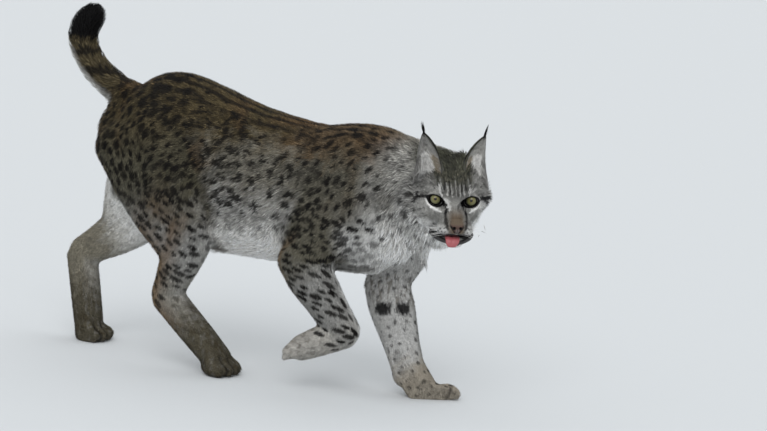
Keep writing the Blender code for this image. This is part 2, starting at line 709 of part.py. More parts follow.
def prism(outline, near, far, grow=0.0):
    """A prism whose side view is the outline of x and z, between two values of y, grown by grow."""
    count = len(outline)
    area = sum(a[0] * b[1] - b[0] * a[1] for a, b in zip(outline, outline[1:] + outline[:1]))
    turn = 1 if area > 0 else -1
    grown = []
    for i in range(count):
        before, here, after = outline[i - 1], outline[i], outline[(i + 1) % count]
        first = Vector((here[1] - before[1], before[0] - here[0])).normalized() * turn
        second = Vector((after[1] - here[1], here[0] - after[0])).normalized() * turn
        middle = (first + second) / (1 + first.dot(second))
        grown.append((here[0] + middle.x * grow, here[1] + middle.y * grow))
    low, high = min(near, far) - grow, max(near, far) + grow
    points = [(x, low, z) for x, z in grown] + [(x, high, z) for x, z in grown]
    faces = [(i, (i + 1) % count, count + (i + 1) % count, count + i) for i in range(count)]
    faces += [tuple(range(count)), tuple(range(count, 2 * count))]
    return mesh_object("prism", points, faces)


def grown(obj):
    """A copy of the object, swollen by the gap along its normals."""
    copy = bpy.data.objects.new("grown", obj.data.copy())
    bpy.context.scene.collection.objects.link(copy)
    swell = copy.modifiers.new("swell", "DISPLACE")
    swell.strength = GAP
    swell.mid_level = 0.0
    return keep_evaluated(copy)


def split(whole, region, name):
    """Parts whole by a region: what lies inside it, under that name, and what is left, a gap away."""
    inside = bpy.data.objects.new(name, whole.data.copy())
    bpy.context.scene.collection.objects.link(inside)
    combine(inside, [region(0.0)], "INTERSECT")
    combine(whole, [region(GAP)], "DIFFERENCE")
    return largest(inside, name), largest(whole, whole.name)


def soft_share(points):
    """Less smoothing near the floor and on the lifted paw, where the toes are, and more on the trunk."""
    share = np.clip((points[:, 2] - 0.030) / 0.06, 0.25, 0.6)
    share += np.clip((points[:, 2] - 0.26) / 0.05, 0.0, 0.4)
    tip = np.array(fore_joints("right")[3])
    share[np.linalg.norm(points - tip, axis=1) < 0.075] = 0.25
    return share


def face_share(points):
    """Less smoothing on the front of the face than on the neck."""
    back = np.array(HEAD.inverted() @ Vector((0, 0, 0)))
    turn = np.array(HEAD.inverted().to_3x3())
    local = points @ turn.T + back
    return np.clip(0.20 - (local[:, 0] + 0.005) / 0.05, 0.20, 1.0)


# Where the head and the neck meet, in the head's frame, and where the neck meets the trunk.
NAPE = HEAD @ Vector((-0.098, 0.0, 0.0))
NAPE_AIM = HEAD.to_3x3() @ Vector((1.0, 0.0, -0.10))
NECK_ROOT = (0.322, -0.010, 0.452)
NECK_AIM = (0.90, -0.12, 0.40)


def make_body():
    """Everything but the head, fused, thinned, and cut flat at the floor and at the nape."""
    pieces = [trunk(), neck(), tail()] + head_masses()
    for side in SIDES:
        pieces += hind_leg(side) + foreleg(side)
    body = thinned(fused("torso", pieces, BODY_VOXEL, 14, soft_share), BODY_TRIANGLES)
    combine(body, [half_space((0, 0, 0), (0, 0, -1))], "DIFFERENCE")
    combine(body, [half_space(NAPE, NAPE_AIM, GAP)], "DIFFERENCE")
    return largest(body, "torso")


def make_head():
    """The head and its ears, with the sockets, nostrils and mouth cut once it is thinned."""
    pieces = head_masses() + [neck()]
    head = fused("head", pieces, HEAD_VOXEL, 40, face_share)
    combine(head, [half_space(NAPE, -NAPE_AIM)], "DIFFERENCE")
    head = thinned(largest(head, "head"), HEAD_TRIANGLES)
    for side, out in SIDES.items():
        set_on = combine(ear(out), [grown(head)], "DIFFERENCE")
        set_on = combine(largest(set_on, f"ear_{side}"), ear_tuft(out), "UNION")
        largest(set_on, f"ear_{side}")
    combine(head, ruff(head, -1) + ruff(head, 1), "UNION")
    combine(head, [half_space(NAPE, -NAPE_AIM)], "DIFFERENCE")
    head = largest(head, "head")
    cutters = [eyeball("socket", out, GAP) for out in (-1, 1)]
    cutters += [opening(-1), opening(1), mouth(), nose(GAP), nostril(-1), nostril(1)]
    for cutter in cutters:
        combine(head, [cutter], "DIFFERENCE")
    combine(head, [tongue(GAP)], "DIFFERENCE")
    return largest(head, "head")


def end_region(start, end, share):
    """The region beyond a plane across the limb from start to end, wide enough for its paw alone."""
    aim = (Vector(end) - Vector(start)).normalized()
    level = Vector(between(start, end, share))
    return lambda grow: slab(level + aim * (0.10 - grow), aim, (0, 1, 0), 0.07 + grow, 0.075 + grow, thick=0.20)


HIND_LINE = {
    "right": [(-0.375, 0.500), (-0.330, 0.555), (-0.250, 0.560), (-0.180, 0.500), (-0.120, 0.390),
              (-0.090, 0.290), (-0.080, 0.225), (0.100, 0.150), (0.100, -0.050), (-0.300, -0.050),
              (-0.345, 0.200), (-0.370, 0.380)],
    "left": [(-0.395, 0.500), (-0.330, 0.560), (-0.250, 0.560), (-0.190, 0.480), (-0.200, 0.360),
             (-0.250, 0.230), (-0.300, -0.050), (-0.700, -0.050), (-0.700, 0.300), (-0.420, 0.400)],
}
FORE_LINE = {
    "right": [(0.160, 0.500), (0.215, 0.530), (0.262, 0.500), (0.300, 0.410), (0.298, 0.330),
              (0.272, 0.262), (0.300, 0.200), (0.300, 0.020), (0.030, 0.020), (0.045, 0.225),
              (0.062, 0.280), (0.110, 0.380)],
    "left": [(0.180, 0.500), (0.235, 0.535), (0.290, 0.510), (0.335, 0.420), (0.338, 0.350),
             (0.322, 0.285), (0.400, 0.180), (0.560, 0.100), (0.560, -0.050), (0.200, -0.050),
             (0.180, 0.225), (0.165, 0.290), (0.155, 0.380)],
}
PAW_CUTS = {
    "hind_right": 0.30, "hind_left": 0.32, "front_right": 0.45, "front_left": 0.08,
}


def make_nodes():
    """All parts of the animal as separate objects."""
    body = make_body()
    nodes = {}
    nodes["neck"], body = split(body, lambda grow: half_space(NECK_ROOT, NECK_AIM, grow), "neck")
    nodes["tail"], body = split(
        body, lambda grow: half_space((-0.392, 0.0, 0.566), (-0.93, 0, 0.36), grow), "tail")
    for side, out in SIDES.items():
        for place, line, inner in (("hind", HIND_LINE, 0.020), ("front", FORE_LINE, 0.030)):
            name = f"leg_{place}_{side}"
            leg, body = split(
                body, lambda grow: prism(line[side], out * inner, out * 0.25, grow), name)
            joints = hind_joints(side) if place == "hind" else fore_joints(side)
            region = end_region(joints[2], joints[3], PAW_CUTS[f"{place}_{side}"])
            paw, leg = split(leg, region, f"paw_{place}_{side}")
            nodes[name], nodes[paw.name] = leg, paw
    combine(body, belly_fringe(body), "UNION")
    nodes["torso"] = largest(body, "torso")
    nodes["head"] = make_head()
    for side, out in SIDES.items():
        nodes[f"ear_{side}"] = bpy.data.objects[f"ear_{side}"]
        nodes[f"eye_{side}"] = eyeball(f"eye_{side}", out)
    pad = nose()
    pad.name = "nose"
    for out in (-1, 1):
        combine(pad, [nostril(out)], "DIFFERENCE")
    nodes["nose"] = largest(pad, "nose")
    nodes["tongue"] = tongue()
    return nodes


def colour(obj, name, rgb, roughness):
    """Gives the object its own plain material."""
    material = bpy.data.materials.new(name)
    material.use_nodes = True
    shader = material.node_tree.nodes["Principled BSDF"]
    shader.inputs["Base Color"].default_value = (*rgb, 1.0)
    shader.inputs["Roughness"].default_value = roughness
    shader.inputs["Metallic"].default_value = 0.0
    obj.data.materials.clear()
    obj.data.materials.append(material)


COLOURS = {
    "head": (0.36, 0.33, 0.29), "neck": (0.36, 0.30, 0.24), "torso": (0.35, 0.27, 0.20),
    "tail": (0.26, 0.20, 0.15), "ear": (0.40, 0.38, 0.36), "leg": (0.38, 0.29, 0.21),
    "paw": (0.48, 0.40, 0.31), "eye": (0.42, 0.40, 0.14), "nose": (0.25, 0.13, 0.11),
    "tongue": (0.72, 0.20, 0.20),
}
ROUGHNESS = {"eye": 0.12, "nose": 0.45, "tongue": 0.40}

nodes = make_nodes()
corners = np.array([v.co for obj in nodes.values() for v in obj.data.vertices])
low, high = corners.min(axis=0), corners.max(axis=0)
shift = Vector((-(low[0] + high[0]) / 2, -(low[1] + high[1]) / 2, -low[2]))
for name, obj in nodes.items():
    kind = name.split("_")[0]
    obj.data.transform(Matrix.Translation(shift))
    obj.name = name
    obj.data.name = name
    colour(obj, name, COLOURS[kind], ROUGHNESS.get(kind, 0.85))
    for face in obj.data.polygons:
        face.use_smooth = True
    obj.data.set_sharp_from_angle(angle=math.radians(50))
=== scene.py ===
"""The looks of a life-size Eurasian lynx: one skin, and over it solid tufts that lie along the body."""
import math

import bmesh
import bpy
import numpy as np
from mathutils import Matrix, Vector
from mathutils.bvhtree import BVHTree
from mathutils.kdtree import KDTree


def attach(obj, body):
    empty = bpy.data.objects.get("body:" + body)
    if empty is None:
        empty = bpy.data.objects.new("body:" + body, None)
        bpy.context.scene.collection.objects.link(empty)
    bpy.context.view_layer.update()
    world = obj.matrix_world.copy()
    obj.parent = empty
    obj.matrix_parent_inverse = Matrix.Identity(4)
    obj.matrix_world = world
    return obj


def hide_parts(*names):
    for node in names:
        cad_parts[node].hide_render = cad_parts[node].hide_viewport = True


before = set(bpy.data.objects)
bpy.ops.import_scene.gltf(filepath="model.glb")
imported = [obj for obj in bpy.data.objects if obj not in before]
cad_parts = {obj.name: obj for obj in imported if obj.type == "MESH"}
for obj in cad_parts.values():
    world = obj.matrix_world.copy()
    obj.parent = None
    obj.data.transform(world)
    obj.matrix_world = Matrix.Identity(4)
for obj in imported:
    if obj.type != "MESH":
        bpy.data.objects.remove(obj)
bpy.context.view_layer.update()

DRAWS = np.random.default_rng(7)

# The photograph's frame, and where its camera stood: a pinhole that sees the floor's ANCHOR at ANCHOR_PIXEL.
FRAME_WIDTH, FRAME_HEIGHT = 767, 431
ANCHOR = np.array([0.0094, 0.0230, 0.0])
ANCHOR_PIXEL = (262.0, 375.7)
CAMERA_AZIMUTH, CAMERA_PITCH, CAMERA_ROLL = 28.0, 8.0, 4.0
CAMERA_DISTANCE = 6.0
LENS, SENSOR = 134.0, 36.0
FLOOR = 0.0

# The head's own frame: x forwards from between the eyes, y to its left, z up.
HEAD_PLACE = ANCHOR + (0.475, -0.110, 0.441)
HEAD_YAW, HEAD_PITCH = -53.0, -6.0
HEAD_TURN = np.array((Matrix.Rotation(math.radians(HEAD_YAW), 4, "Z")
                      @ Matrix.Rotation(math.radians(-HEAD_PITCH), 4, "Y")).to_3x3())
SIDES = {"right": -1, "left": 1}

# The eyes: their spacing, their radius, how far the balls' middles lie back, and which way each opening aims.
PUPIL_SPACING = 0.072
EYE_RADIUS = 0.0145
EYE_SET = -0.0078
EYE_AIM = {"right": 0.20, "left": -0.26}
IRIS_ANGLE, PUPIL_ANGLE = 0.80, 0.17
CORNEA_LIFT = 0.0011
# The iris's colours run out over this many times its angle, and its rays shift them by this much.
RAMP_REACH, RAY_SHIFT = 1.25, 0.16
# The lids: half width and half heights of the opening, its slant in degrees, and the section of the band
# round it, as shares of the opening and heights over the ball.
LID_WIDE, LID_ABOVE, LID_BELOW = 0.0148, 0.0100, 0.0100
LID_SLANT = 22.0
LID_SECTION = ((0.955, 0.0003), (0.962, 0.0013), (1.00, 0.0024), (1.06, 0.0031), (1.14, 0.0034),
               (1.24, 0.0029), (1.32, 0.0014), (1.28, 0.0004), (1.12, 0.0006))

# The ears: root and tip of the left one in the head's frame, how far it goes in, its wall and its tuft.
EAR_ROOT, EAR_TIP = (-0.058, 0.044, 0.046), (-0.060, 0.062, 0.119)
EAR_SINK = 0.022
EAR_WALL = 0.0022
EAR_TUFT = 0.030

# The nodes that one skin stands for, the swelling that makes them meet, and how fine the skin is.
FLESH = ["torso", "neck", "head", "tail"]
FLESH += [f"{part}_{end}_{side}" for part in ("leg", "paw") for end in ("front", "hind") for side in SIDES]
SLOTS = {"torso": "coat_body", "neck": "coat_neck", "head": "coat_head", "tail": "coat_tail",
         "leg": "coat_legs", "paw": "coat_paws"}
MERGE = 1e-6
SWELL = 0.0005
SKIN_VOXEL = 0.0024
SKIN_TRIANGLES = 150000
# A lock of the solids that is thinner than this is drawn back into the skin, in this many rounds.
LOCK_THICK, LOCK_ROUNDS = 0.0105, 1200
# How deep the gaps between the toes go.
TOE_GROOVE = 0.0030

# The coat: how deep the skin lies as a share of the hair's length, how many times over tufts cover it, the
# length below which a tuft is one plain blade, the most triangles of a piece, and the size of a tuft's patch
# in the map.
LIE_SHARE = 0.42
TUFT_COVER = 2.5
SHORT_HAIR = 0.0125
MOST_TRIANGLES = 195000
PATCH = 0.003
# The ruff's locks for each square metre.
RUFF_DENSITY = 165000.0


def smooth(x, low, high):
    """0 below low, 1 above high and an S curve between them."""
    t = np.clip((x - low) / (high - low), 0, 1)
    return t * t * (3 - 2 * t)


def unit(v):
    """Vectors of length one."""
    return v / np.maximum(np.linalg.norm(v, axis=-1, keepdims=True), 1e-9)


def dot(a, b):
    """The dot products of two rows of vectors."""
    return (a * b).sum(-1)


def to_head(points):
    """World points in the head's frame."""
    return (points - HEAD_PLACE) @ HEAD_TURN


def from_head(points):
    """Points of the head's frame in the world."""
    return np.asarray(points, float) @ HEAD_TURN.T + HEAD_PLACE


def waves(points, scale, count=5, seed=3):
    """Smooth noise from -1 to 1: a mean of sines along seeded directions, each warped by the one before."""
    draws = np.random.default_rng(seed)
    total = np.zeros(len(points))
    wave = np.zeros(len(points))
    for _ in range(count):
        aim = unit(draws.normal(size=3)) * draws.uniform(0.7, 1.6) * 2 * math.pi / scale
        wave = np.sin(points @ aim + draws.uniform(0, 6.28) + 1.7 * wave)
        total += wave
    return total / count * 1.6


def drifts(points, scale, seeds):
    """Three smooth noises as one vector for each point."""
    return np.stack([waves(points, scale, seed=seed) for seed in seeds], 1)


def flattened(way, normals):
    """Directions laid flat on the skin, of length one."""
    return unit(way - dot(way, normals)[:, None] * normals)


def read(items, field, width, kind=float):
    """A field of all of a mesh's points, edges, faces or corners, with a row for each."""
    out = np.empty(len(items) * width, kind)
    items.foreach_get(field, out)
    return out.reshape(-1, width)


def co(mesh):
    """The places of a mesh's points."""
    return read(mesh.vertices, "co", 3)


def set_co(mesh, points):
    """Moves a mesh's points to new places."""
    mesh.vertices.foreach_set("co", points.ravel())
    mesh.update()


def normals_of(mesh):
    """The outward normals of a mesh's points."""
    return read(mesh.vertex_normals, "vector", 3)


def linked(name, mesh):
    """A new object at the origin that shows the mesh, smoothly shaded."""
    mesh.polygons.foreach_set("use_smooth", np.ones(len(mesh.polygons), bool))
    obj = bpy.data.objects.new(name, mesh)
    bpy.context.scene.collection.objects.link(obj)
    return obj


def new_object(name, points, faces):
    """An object at the origin from points and faces, its faces turned outwards once its doubles are
    merged."""
    mesh = bpy.data.meshes.new(name)
    mesh.from_pydata(np.asarray(points).tolist(), [], [[int(corner) for corner in face] for face in faces])
    form = bmesh.new()
    form.from_mesh(mesh)
    bmesh.ops.remove_doubles(form, verts=form.verts, dist=MERGE / 10)
    bmesh.ops.recalc_face_normals(form, faces=form.faces)
    form.to_mesh(mesh)
    form.free()
    return linked(name, mesh)


def merged_copy(name, nodes):
    """One object from copies of CAD nodes' meshes, with their loose triangles merged."""
    form = bmesh.new()
    for node in nodes:
        form.from_mesh(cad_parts[node].data)
    bmesh.ops.remove_doubles(form, verts=form.verts, dist=MERGE)
    mesh = bpy.data.meshes.new(name)
    form.to_mesh(mesh)
    form.free()
    return linked(name, mesh)


def evaluated(obj):
    """Applies the object's modifiers to its mesh."""
    graph = bpy.context.evaluated_depsgraph_get()
    graph.update()
    made = bpy.data.meshes.new_from_object(obj.evaluated_get(graph))
    obj.modifiers.clear()
    obj.data = made
    made.polygons.foreach_set("use_smooth", np.ones(len(made.polygons), bool))
    return obj


def worn(piece, material, slot, *nodes):
    """Finishes a piece: its material, the body it rides on and the nodes it stands for, which it hides. Its
    slot is not used.
    """
    piece.data.materials.append(material)
    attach(piece, "root")
    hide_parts(*nodes)


def grid_faces(rows, columns, closed=True):
    """Quads of a grid of rows rings with columns points, closed round each ring or open."""
    r = np.arange(rows - 1)[:, None] * columns
    c = np.arange(columns if closed else columns - 1)[None, :]
    n = (c + 1) % columns
    return np.stack([r + c, r + n, r + columns + n, r + columns + c], -1).reshape(-1, 4)


def diffused(values, edges, rounds, factor=0.5, hold=None):
    """Values spread over a mesh: each round moves every point's value towards the mean of its neighbours'."""
    values = np.array(values, float)
    flat = values.reshape(len(values), -1)
    degree = np.maximum(np.bincount(edges.ravel(), minlength=len(values)), 1)
    share = factor if hold is None else factor * hold
    for _ in range(rounds):
        for k in range(flat.shape[1]):
            mean = np.bincount(edges[:, 0], flat[edges[:, 1], k], len(values))
            mean += np.bincount(edges[:, 1], flat[edges[:, 0], k], len(values))
            flat[:, k] += share * (mean / degree - flat[:, k])
    return flat.reshape(values.shape)


def chain(start, bones):
    """A limb's joints from its first. Each bone is its length, how many degrees it points forwards from
    straight down, and its sideways run."""
    joints = [np.array(start, float) + ANCHOR]
    for length, angle, aside in bones:
        turn = math.radians(angle)
        joints.append(joints[-1] + np.array([length * math.sin(turn), aside, -length * math.cos(turn)]))
    return np.array(joints)


LIMBS = {
    "hind_right": chain((-0.285, -0.052, 0.442), ((0.190, 52, -0.024), (0.195, -24, 0.020), (0.178, 50, 0))),
    "hind_left": chain((-0.275, 0.052, 0.470), ((0.190, -22, 0.024), (0.195, -57, -0.020), (0.178, 11, 0))),
    "front_right": chain((0.235, -0.078, 0.412), ((0.180, -41.6, 0), (0.178, 36, 0.022), (0.105, -64, 0))),
    "front_left": chain((0.295, 0.078, 0.397), ((0.180, -18, 0), (0.178, 24, -0.022), (0.105, 40, 0))),
}
TAIL_LINE = ANCHOR + [(-0.385, 0, 0.556), (-0.464, 0, 0.606), (-0.498, 0, 0.670), (-0.470, 0, 0.720)]
# The fold between the near thigh and the flank, down its length, along which shade is painted into the coat.
SHADED_THIGH_FOLD = ANCHOR + [(-0.165, -0.094, 0.500), (-0.125, -0.098, 0.420), (-0.098, -0.097, 0.330)]
# Which way each planted paw points, how wide its toes are, and how far ahead of its joint their gaps begin.
TOES = {"hind_right": ((1.0, -0.06, 0), 0.0207, 0.010), "hind_left": ((1.0, 0.06, 0), 0.0207, 0.010),
        "front_left": ((1.0, -0.10, 0), 0.0216, 0.010)}
# Guides for the lie of the coat away from the head: where each starts and ends.
GUIDES = [
    ((0.30, 0, 0.56), (0.10, 0, 0.545)), ((0.10, 0, 0.55), (-0.15, 0, 0.60)),
    ((-0.15, 0, 0.61), (-0.36, 0, 0.59)), ((0.42, 0.01, 0.50), (0.26, 0.02, 0.42)),
    ((0.36, -0.02, 0.40), (0.30, -0.01, 0.26)),
    ((0.18, -0.09, 0.50), (0.08, -0.10, 0.40)), ((0.18, 0.09, 0.50), (0.08, 0.10, 0.40)),
    ((0.06, -0.10, 0.44), (-0.10, -0.10, 0.33)), ((0.06, 0.10, 0.44), (-0.10, 0.10, 0.33)),
    ((-0.08, -0.09, 0.50), (-0.20, -0.09, 0.42)), ((-0.08, 0.09, 0.50), (-0.20, 0.09, 0.42)),
    ((0.20, 0, 0.25), (-0.05, 0, 0.235)), ((-0.05, 0, 0.24), (-0.20, 0, 0.29)),
    ((-0.37, -0.03, 0.56), (-0.38, -0.03, 0.40)), ((-0.37, 0.03, 0.56), (-0.38, 0.03, 0.40)),
]
GUIDE_REACH = 0.03
BONE_SHARE, FIRST_BONE_SHARE, TAIL_SHARE = 1.0, 0.55, 1.6
NOSE_TIP = (0.058, 0.0, -0.034)


def fine_skin():
    """The flesh nodes fused into one shell: merged, swollen until they meet, and remeshed in small voxels."""
    obj = merged_copy("skin", FLESH)
    swell = obj.modifiers.new("swell", "DISPLACE")
    swell.strength, swell.mid_level = SWELL, 0.0
    remesh = obj.modifiers.new("fuse", "REMESH")
    remesh.mode, remesh.voxel_size, remesh.adaptivity = "VOXEL", SKIN_VOXEL, 0.0
    return evaluated(obj)


def owners(points):
    """For each point, the number in FLESH of the CAD node whose surface is nearest."""
    corners, faces, owner = [], [], []
    start = 0
    for k, name in enumerate(FLESH):
        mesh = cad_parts[name].data
        corners.append(co(mesh))
        faces.append(read(mesh.polygons, "vertices", 3, int) + start)
        owner.append(np.full(len(mesh.polygons), k))
        start += len(mesh.vertices)
    tree = BVHTree.FromPolygons(np.vstack(corners).tolist(), np.vstack(faces).tolist())
    owner = np.concatenate(owner)
    return np.array([owner[tree.find_nearest(p)[2]] for p in points.tolist()])


def drawn_in_locks(obj, points, normals, edges):
    """The points with the solids' thin locks drawn back to the skin. What is thinner than LOCK_THICK behind
    the face or under the belly is spread as a film over its own root."""
    tree = BVHTree.FromObject(obj, bpy.context.evaluated_depsgraph_get())
    local = to_head(points)
    behind = (np.linalg.norm(local - (-0.06, 0, -0.02), axis=1) < 0.16) & (local[:, 0] < -0.022)
    below = (points[:, 2] < 0.285) & (abs(points[:, 0]) < 0.20) & (points[:, 2] > 0.19)
    thin = np.zeros(len(points))
    for i in np.flatnonzero(behind | below):
        start = Vector(points[i] - normals[i] * 0.0004)
        thin[i] = tree.ray_cast(start, Vector(-normals[i]), LOCK_THICK)[0] is not None
    hold = (diffused(thin, edges, 4) > 0.12).astype(float)
    used, near = np.unique(edges[hold[edges].any(1)], return_inverse=True)
    points = points.copy()
    points[used] = diffused(points[used], near.reshape(-1, 2), LOCK_ROUNDS, hold=hold[used])
    return points


def head_share(points):
    """1 on the head and 0 on the neck and body."""
    local = to_head(points)
    return 1 - smooth(np.linalg.norm(local - (-0.03, 0, -0.02), axis=1), 0.085, 0.125)


def eye_middle(side):
    """The middle of an eyeball, in the head's frame."""
    return np.array((EYE_SET, SIDES[side] * PUPIL_SPACING / 2, 0.0))


def eye_spot(side):
    """The middle of an eye's opening, in the head's frame."""
    aim = EYE_AIM[side]
    return np.array((EYE_SET + EYE_RADIUS * math.cos(aim),
                     SIDES[side] * (PUPIL_SPACING / 2 + EYE_RADIUS * math.sin(aim)), 0.0))


def regions(points):
    """Shares of the haunch, shoulder and neck, and the height over the belly line, 0, up to the back, 1."""
    x, _, z = (points - ANCHOR).T
    haunch = smooth(-x, 0.14, 0.22)
    shoulder = smooth(x, 0.06, 0.15) * (1 - smooth(x, 0.26, 0.33))
    top = 0.555 + 0.064 * smooth(-x, 0.0, 0.25)
    return haunch, shoulder, smooth(x, 0.27, 0.35), (z - 0.243) / (top - 0.243)


def coat_length(points, masks):
    """The hair's length: short on back and haunch, longer on flank and neck, longest below, short on legs and
    face, and long at the ears' roots."""
    local = to_head(points)
    ahead = -local[:, 0]
    z = points[:, 2]
    haunch, shoulder, neck, h = regions(points)
    leg = sum(masks[name] for name in LIMBS)
    length = 0.0095 + 0.0060 * (1 - haunch) * (1 - 0.8 * shoulder) * (1 - smooth(h, 0.50, 0.85))
    length += 0.011 * (1 - smooth(z, 0.26, 0.33)) + 0.009 * neck + 0.006 * neck * (1 - smooth(z, 0.35, 0.45))
    length += leg * (0.0055 + 0.0042 * smooth(z, 0.03, 0.33) - length)
    face = 0.0038 + 0.0022 * smooth(ahead, -0.03, 0.0) + 0.009 * smooth(ahead, 0.02, 0.10)
    for out in SIDES.values():
        from_ear = np.linalg.norm(local - (-0.058, out * 0.046, 0.046), axis=1)
        face = face + 0.005 * (1 - smooth(from_ear, 0.022, 0.040))
    length += masks["head"] * (face - length)
    return length + masks["tail"] * (0.0145 - length)


def coat_depth(points, masks):
    """How deep the skin lies under the coat's tips: LIE_SHARE of the hair's length, next to nothing round the
    eyes."""
    depth = LIE_SHARE * coat_length(points, masks)
    local = to_head(points)
    for side in SIDES:
        depth *= 0.15 + 0.85 * smooth(np.linalg.norm(local - eye_spot(side), axis=1), 0.014, 0.028)
    return depth


def lie(points, normals):
    """Which way the coat lies, flat on the skin. On the body it is the mean of the guides' and bones'
    directions, each weighed by one over its distance to the fourth. On the head it runs backwards and
    outwards from the nose."""
    lines = [(np.array(a) + ANCHOR, np.array(b) + ANCHOR, 1.0) for a, b in GUIDES]
    for joints in LIMBS.values():
        bones = enumerate(zip(joints, joints[1:]))
        lines += [(a, b, BONE_SHARE if k else FIRST_BONE_SHARE) for k, (a, b) in bones]
    lines += [(a, b, TAIL_SHARE) for a, b in zip(TAIL_LINE, TAIL_LINE[1:])]
    total = np.zeros_like(points)
    for start, end, share in lines:
        along = end - start
        t = np.clip((points - start) @ along / (along @ along), 0, 1)
        gap = np.linalg.norm(points - start - t[:, None] * along, axis=1)
        total += (share / (gap ** 2 + GUIDE_REACH ** 2) ** 2)[:, None] * unit(along)
    body = unit(total)
    local = to_head(points)
    away = unit(local - NOSE_TIP)
    away[:, 0] -= 0.75
    away[:, 2] -= 0.55 * smooth(-local[:, 2], -0.01, 0.07) * smooth(-local[:, 0], -0.01, 0.05)
    face = unit(away) @ HEAD_TURN.T
    share = head_share(points)[:, None]
    flow = unit(body * (1 - share) + face * share)
    flow += unit(drifts(points, 0.07, (21, 22, 23))) * 0.16
    flow[:, 2] -= 0.05
    return flattened(flow, normals)


# The coat's colours, linear.
BLACK = np.array([0.006, 0.0055, 0.006])
SPOT = np.array([0.009, 0.0075, 0.0065])
BACK = np.array([0.080, 0.061, 0.031])
SHOULDER = np.array([0.096, 0.088, 0.066])
RUST = np.array([0.155, 0.092, 0.044])
GREY_BROWN = np.array([0.250, 0.232, 0.190])
PALE_GREY = np.array([0.50, 0.49, 0.465])
WHITE = np.array([0.97, 0.955, 0.925])
CREAM = np.array([0.72, 0.68, 0.62])
TAN = np.array([0.36, 0.31, 0.24])
FOOT = np.array([0.098, 0.086, 0.060])
HEAD_GREY = np.array([0.26, 0.255, 0.24])
CROWN = np.array([0.046, 0.046, 0.033])
BRIDGE = np.array([0.125, 0.094, 0.066])
STREAK = np.array([0.15, 0.14, 0.10])


def mixed(base, colour, share):
    """The base colour moved towards another by a share for each point."""
    return base + (np.asarray(colour) - base) * np.clip(share, 0, 1)[:, None]


def plain(colour, count):
    """One colour for each of so many points."""
    return np.tile(colour, (count, 1))


def limb_place(points, joints):
    """Each point's place along the limb's bones, from 0 to the count of bones, and its offset from the
    nearest."""
    best = np.full(len(points), 9.0)
    place = np.zeros(len(points))
    offset = np.zeros_like(points)
    for k, (a, b) in enumerate(zip(joints, joints[1:])):
        t = np.clip((points - a) @ (b - a) / ((b - a) @ (b - a)), 0, 1)
        off = points - a - t[:, None] * (b - a)
        gap = np.linalg.norm(off, axis=1)
        near = gap < best
        best[near], place[near], offset[near] = gap[near], k + t[near], off[near]
    return place, offset


def base_colour(points, normals, masks):
    """The coat without its spots: dark along the back, grey-brown on the flanks, white below, tan on the
    feet, and painted shade along the fold between the near thigh and the flank."""
    x, y, z = (points - ANCHOR).T
    haunch, shoulder, _, h = regions(points)
    h = h + waves(points, 0.06, seed=31) * 0.05 + waves(points, 0.022, seed=32) * 0.04
    colour = mixed(plain(WHITE, len(points)), PALE_GREY, smooth(h, 0.14, 0.30))
    colour = mixed(colour, GREY_BROWN, smooth(h, 0.34, 0.62))
    back = BACK * (1.1 + 0.40 * smooth(x, 0.08, 0.16))[:, None]
    colour = mixed(colour, back, smooth(h + 0.10 * smooth(-x, 0.0, 0.12), 0.68, 0.92))
    low = smooth(x, 0.19, 0.25) * (1 - smooth(z, 0.33, 0.40))
    colour = mixed(colour, SHOULDER, shoulder * smooth(z, 0.28, 0.36) * 0.8 * (1 - low))
    behind = -x - 0.45 * (z - 0.42) + 0.012 * waves(points, 0.05, seed=45)
    haunch_colour = BACK * (1 + (1 - smooth(z, 0.40, 0.53))[:, None] * (0.25, 0.50, 0.95))
    colour = mixed(colour, haunch_colour, smooth(behind, 0.100, 0.155) * smooth(z, 0.27, 0.36) * 0.95)
    # Painted shade: the coat is darkened along the fold between the near thigh and the flank.
    fold = np.linalg.norm(limb_place(points, SHADED_THIGH_FOLD)[1], axis=1)
    colour = mixed(colour, BACK * 0.5, (1 - smooth(fold, 0.006, 0.030)) * 0.6)
    rust = smooth(waves(points, 0.13, seed=33), 0.15, 0.9) * smooth(h, 0.30, 0.6) * 0.40
    rust += 0.55 * smooth(x, 0.02, 0.12) * smooth(h, 0.70, 0.86) * (1 - smooth(x, 0.26, 0.32))
    rust += 0.45 * smooth(-x, 0.25, 0.30) * smooth(h, 0.88, 0.96)
    rust += 0.45 * haunch * smooth(-normals[:, 0], 0.35, 0.8) * smooth(z, 0.33, 0.40)
    colour = mixed(colour, RUST, rust)
    colour = mixed(colour, SPOT, back_lines(points, y, h) * (1 - masks["head"]) * (1 - smooth(x, 0.18, 0.30)))
    nape = smooth(x, 0.24, 0.33) * smooth(z, 0.38, 0.45) * (1 - smooth(z, 0.51, 0.56))
    colour = mixed(colour, HEAD_GREY * 2.0, nape * 0.85)
    colour = mixed(colour, WHITE, smooth(-normals[:, 2], 0.25, 0.8) * smooth(0.36 - z, 0, 0.06))
    colour = mixed(colour, WHITE * 0.7, smooth(x, 0.14, 0.25) * smooth(0.37 - z, 0.0, 0.07) * 0.9)
    colour = mixed(colour, WHITE, smooth(x, 0.24, 0.30) * smooth(0.42 - z, 0.0, 0.08))
    ticks = waves(points, 0.0075, count=6, seed=44) * (smooth(h, 0.5, 0.8) * (1 - 0.5 * shoulder) + haunch)
    ticks = np.clip(ticks, -1.2, 1.2) * (1 - masks["head"]) * smooth(z, 0.30, 0.38)
    colour = colour * np.exp(0.45 * ticks)[:, None]
    for name, joints in LIMBS.items():
        place = limb_place(points, joints)[0]
        leg = (hind_leg_colour if name.startswith("hind") else foreleg_colour)(points, normals, place, name)
        upper = 1 - smooth(place, 0.0, 0.55)
        colour = colour + (leg - colour) * (masks[name] * (1 - 0.8 * upper))[:, None]
    colour = tail_colour(points, normals, masks["tail"], colour)
    return face_colour(points, masks["head"], colour)


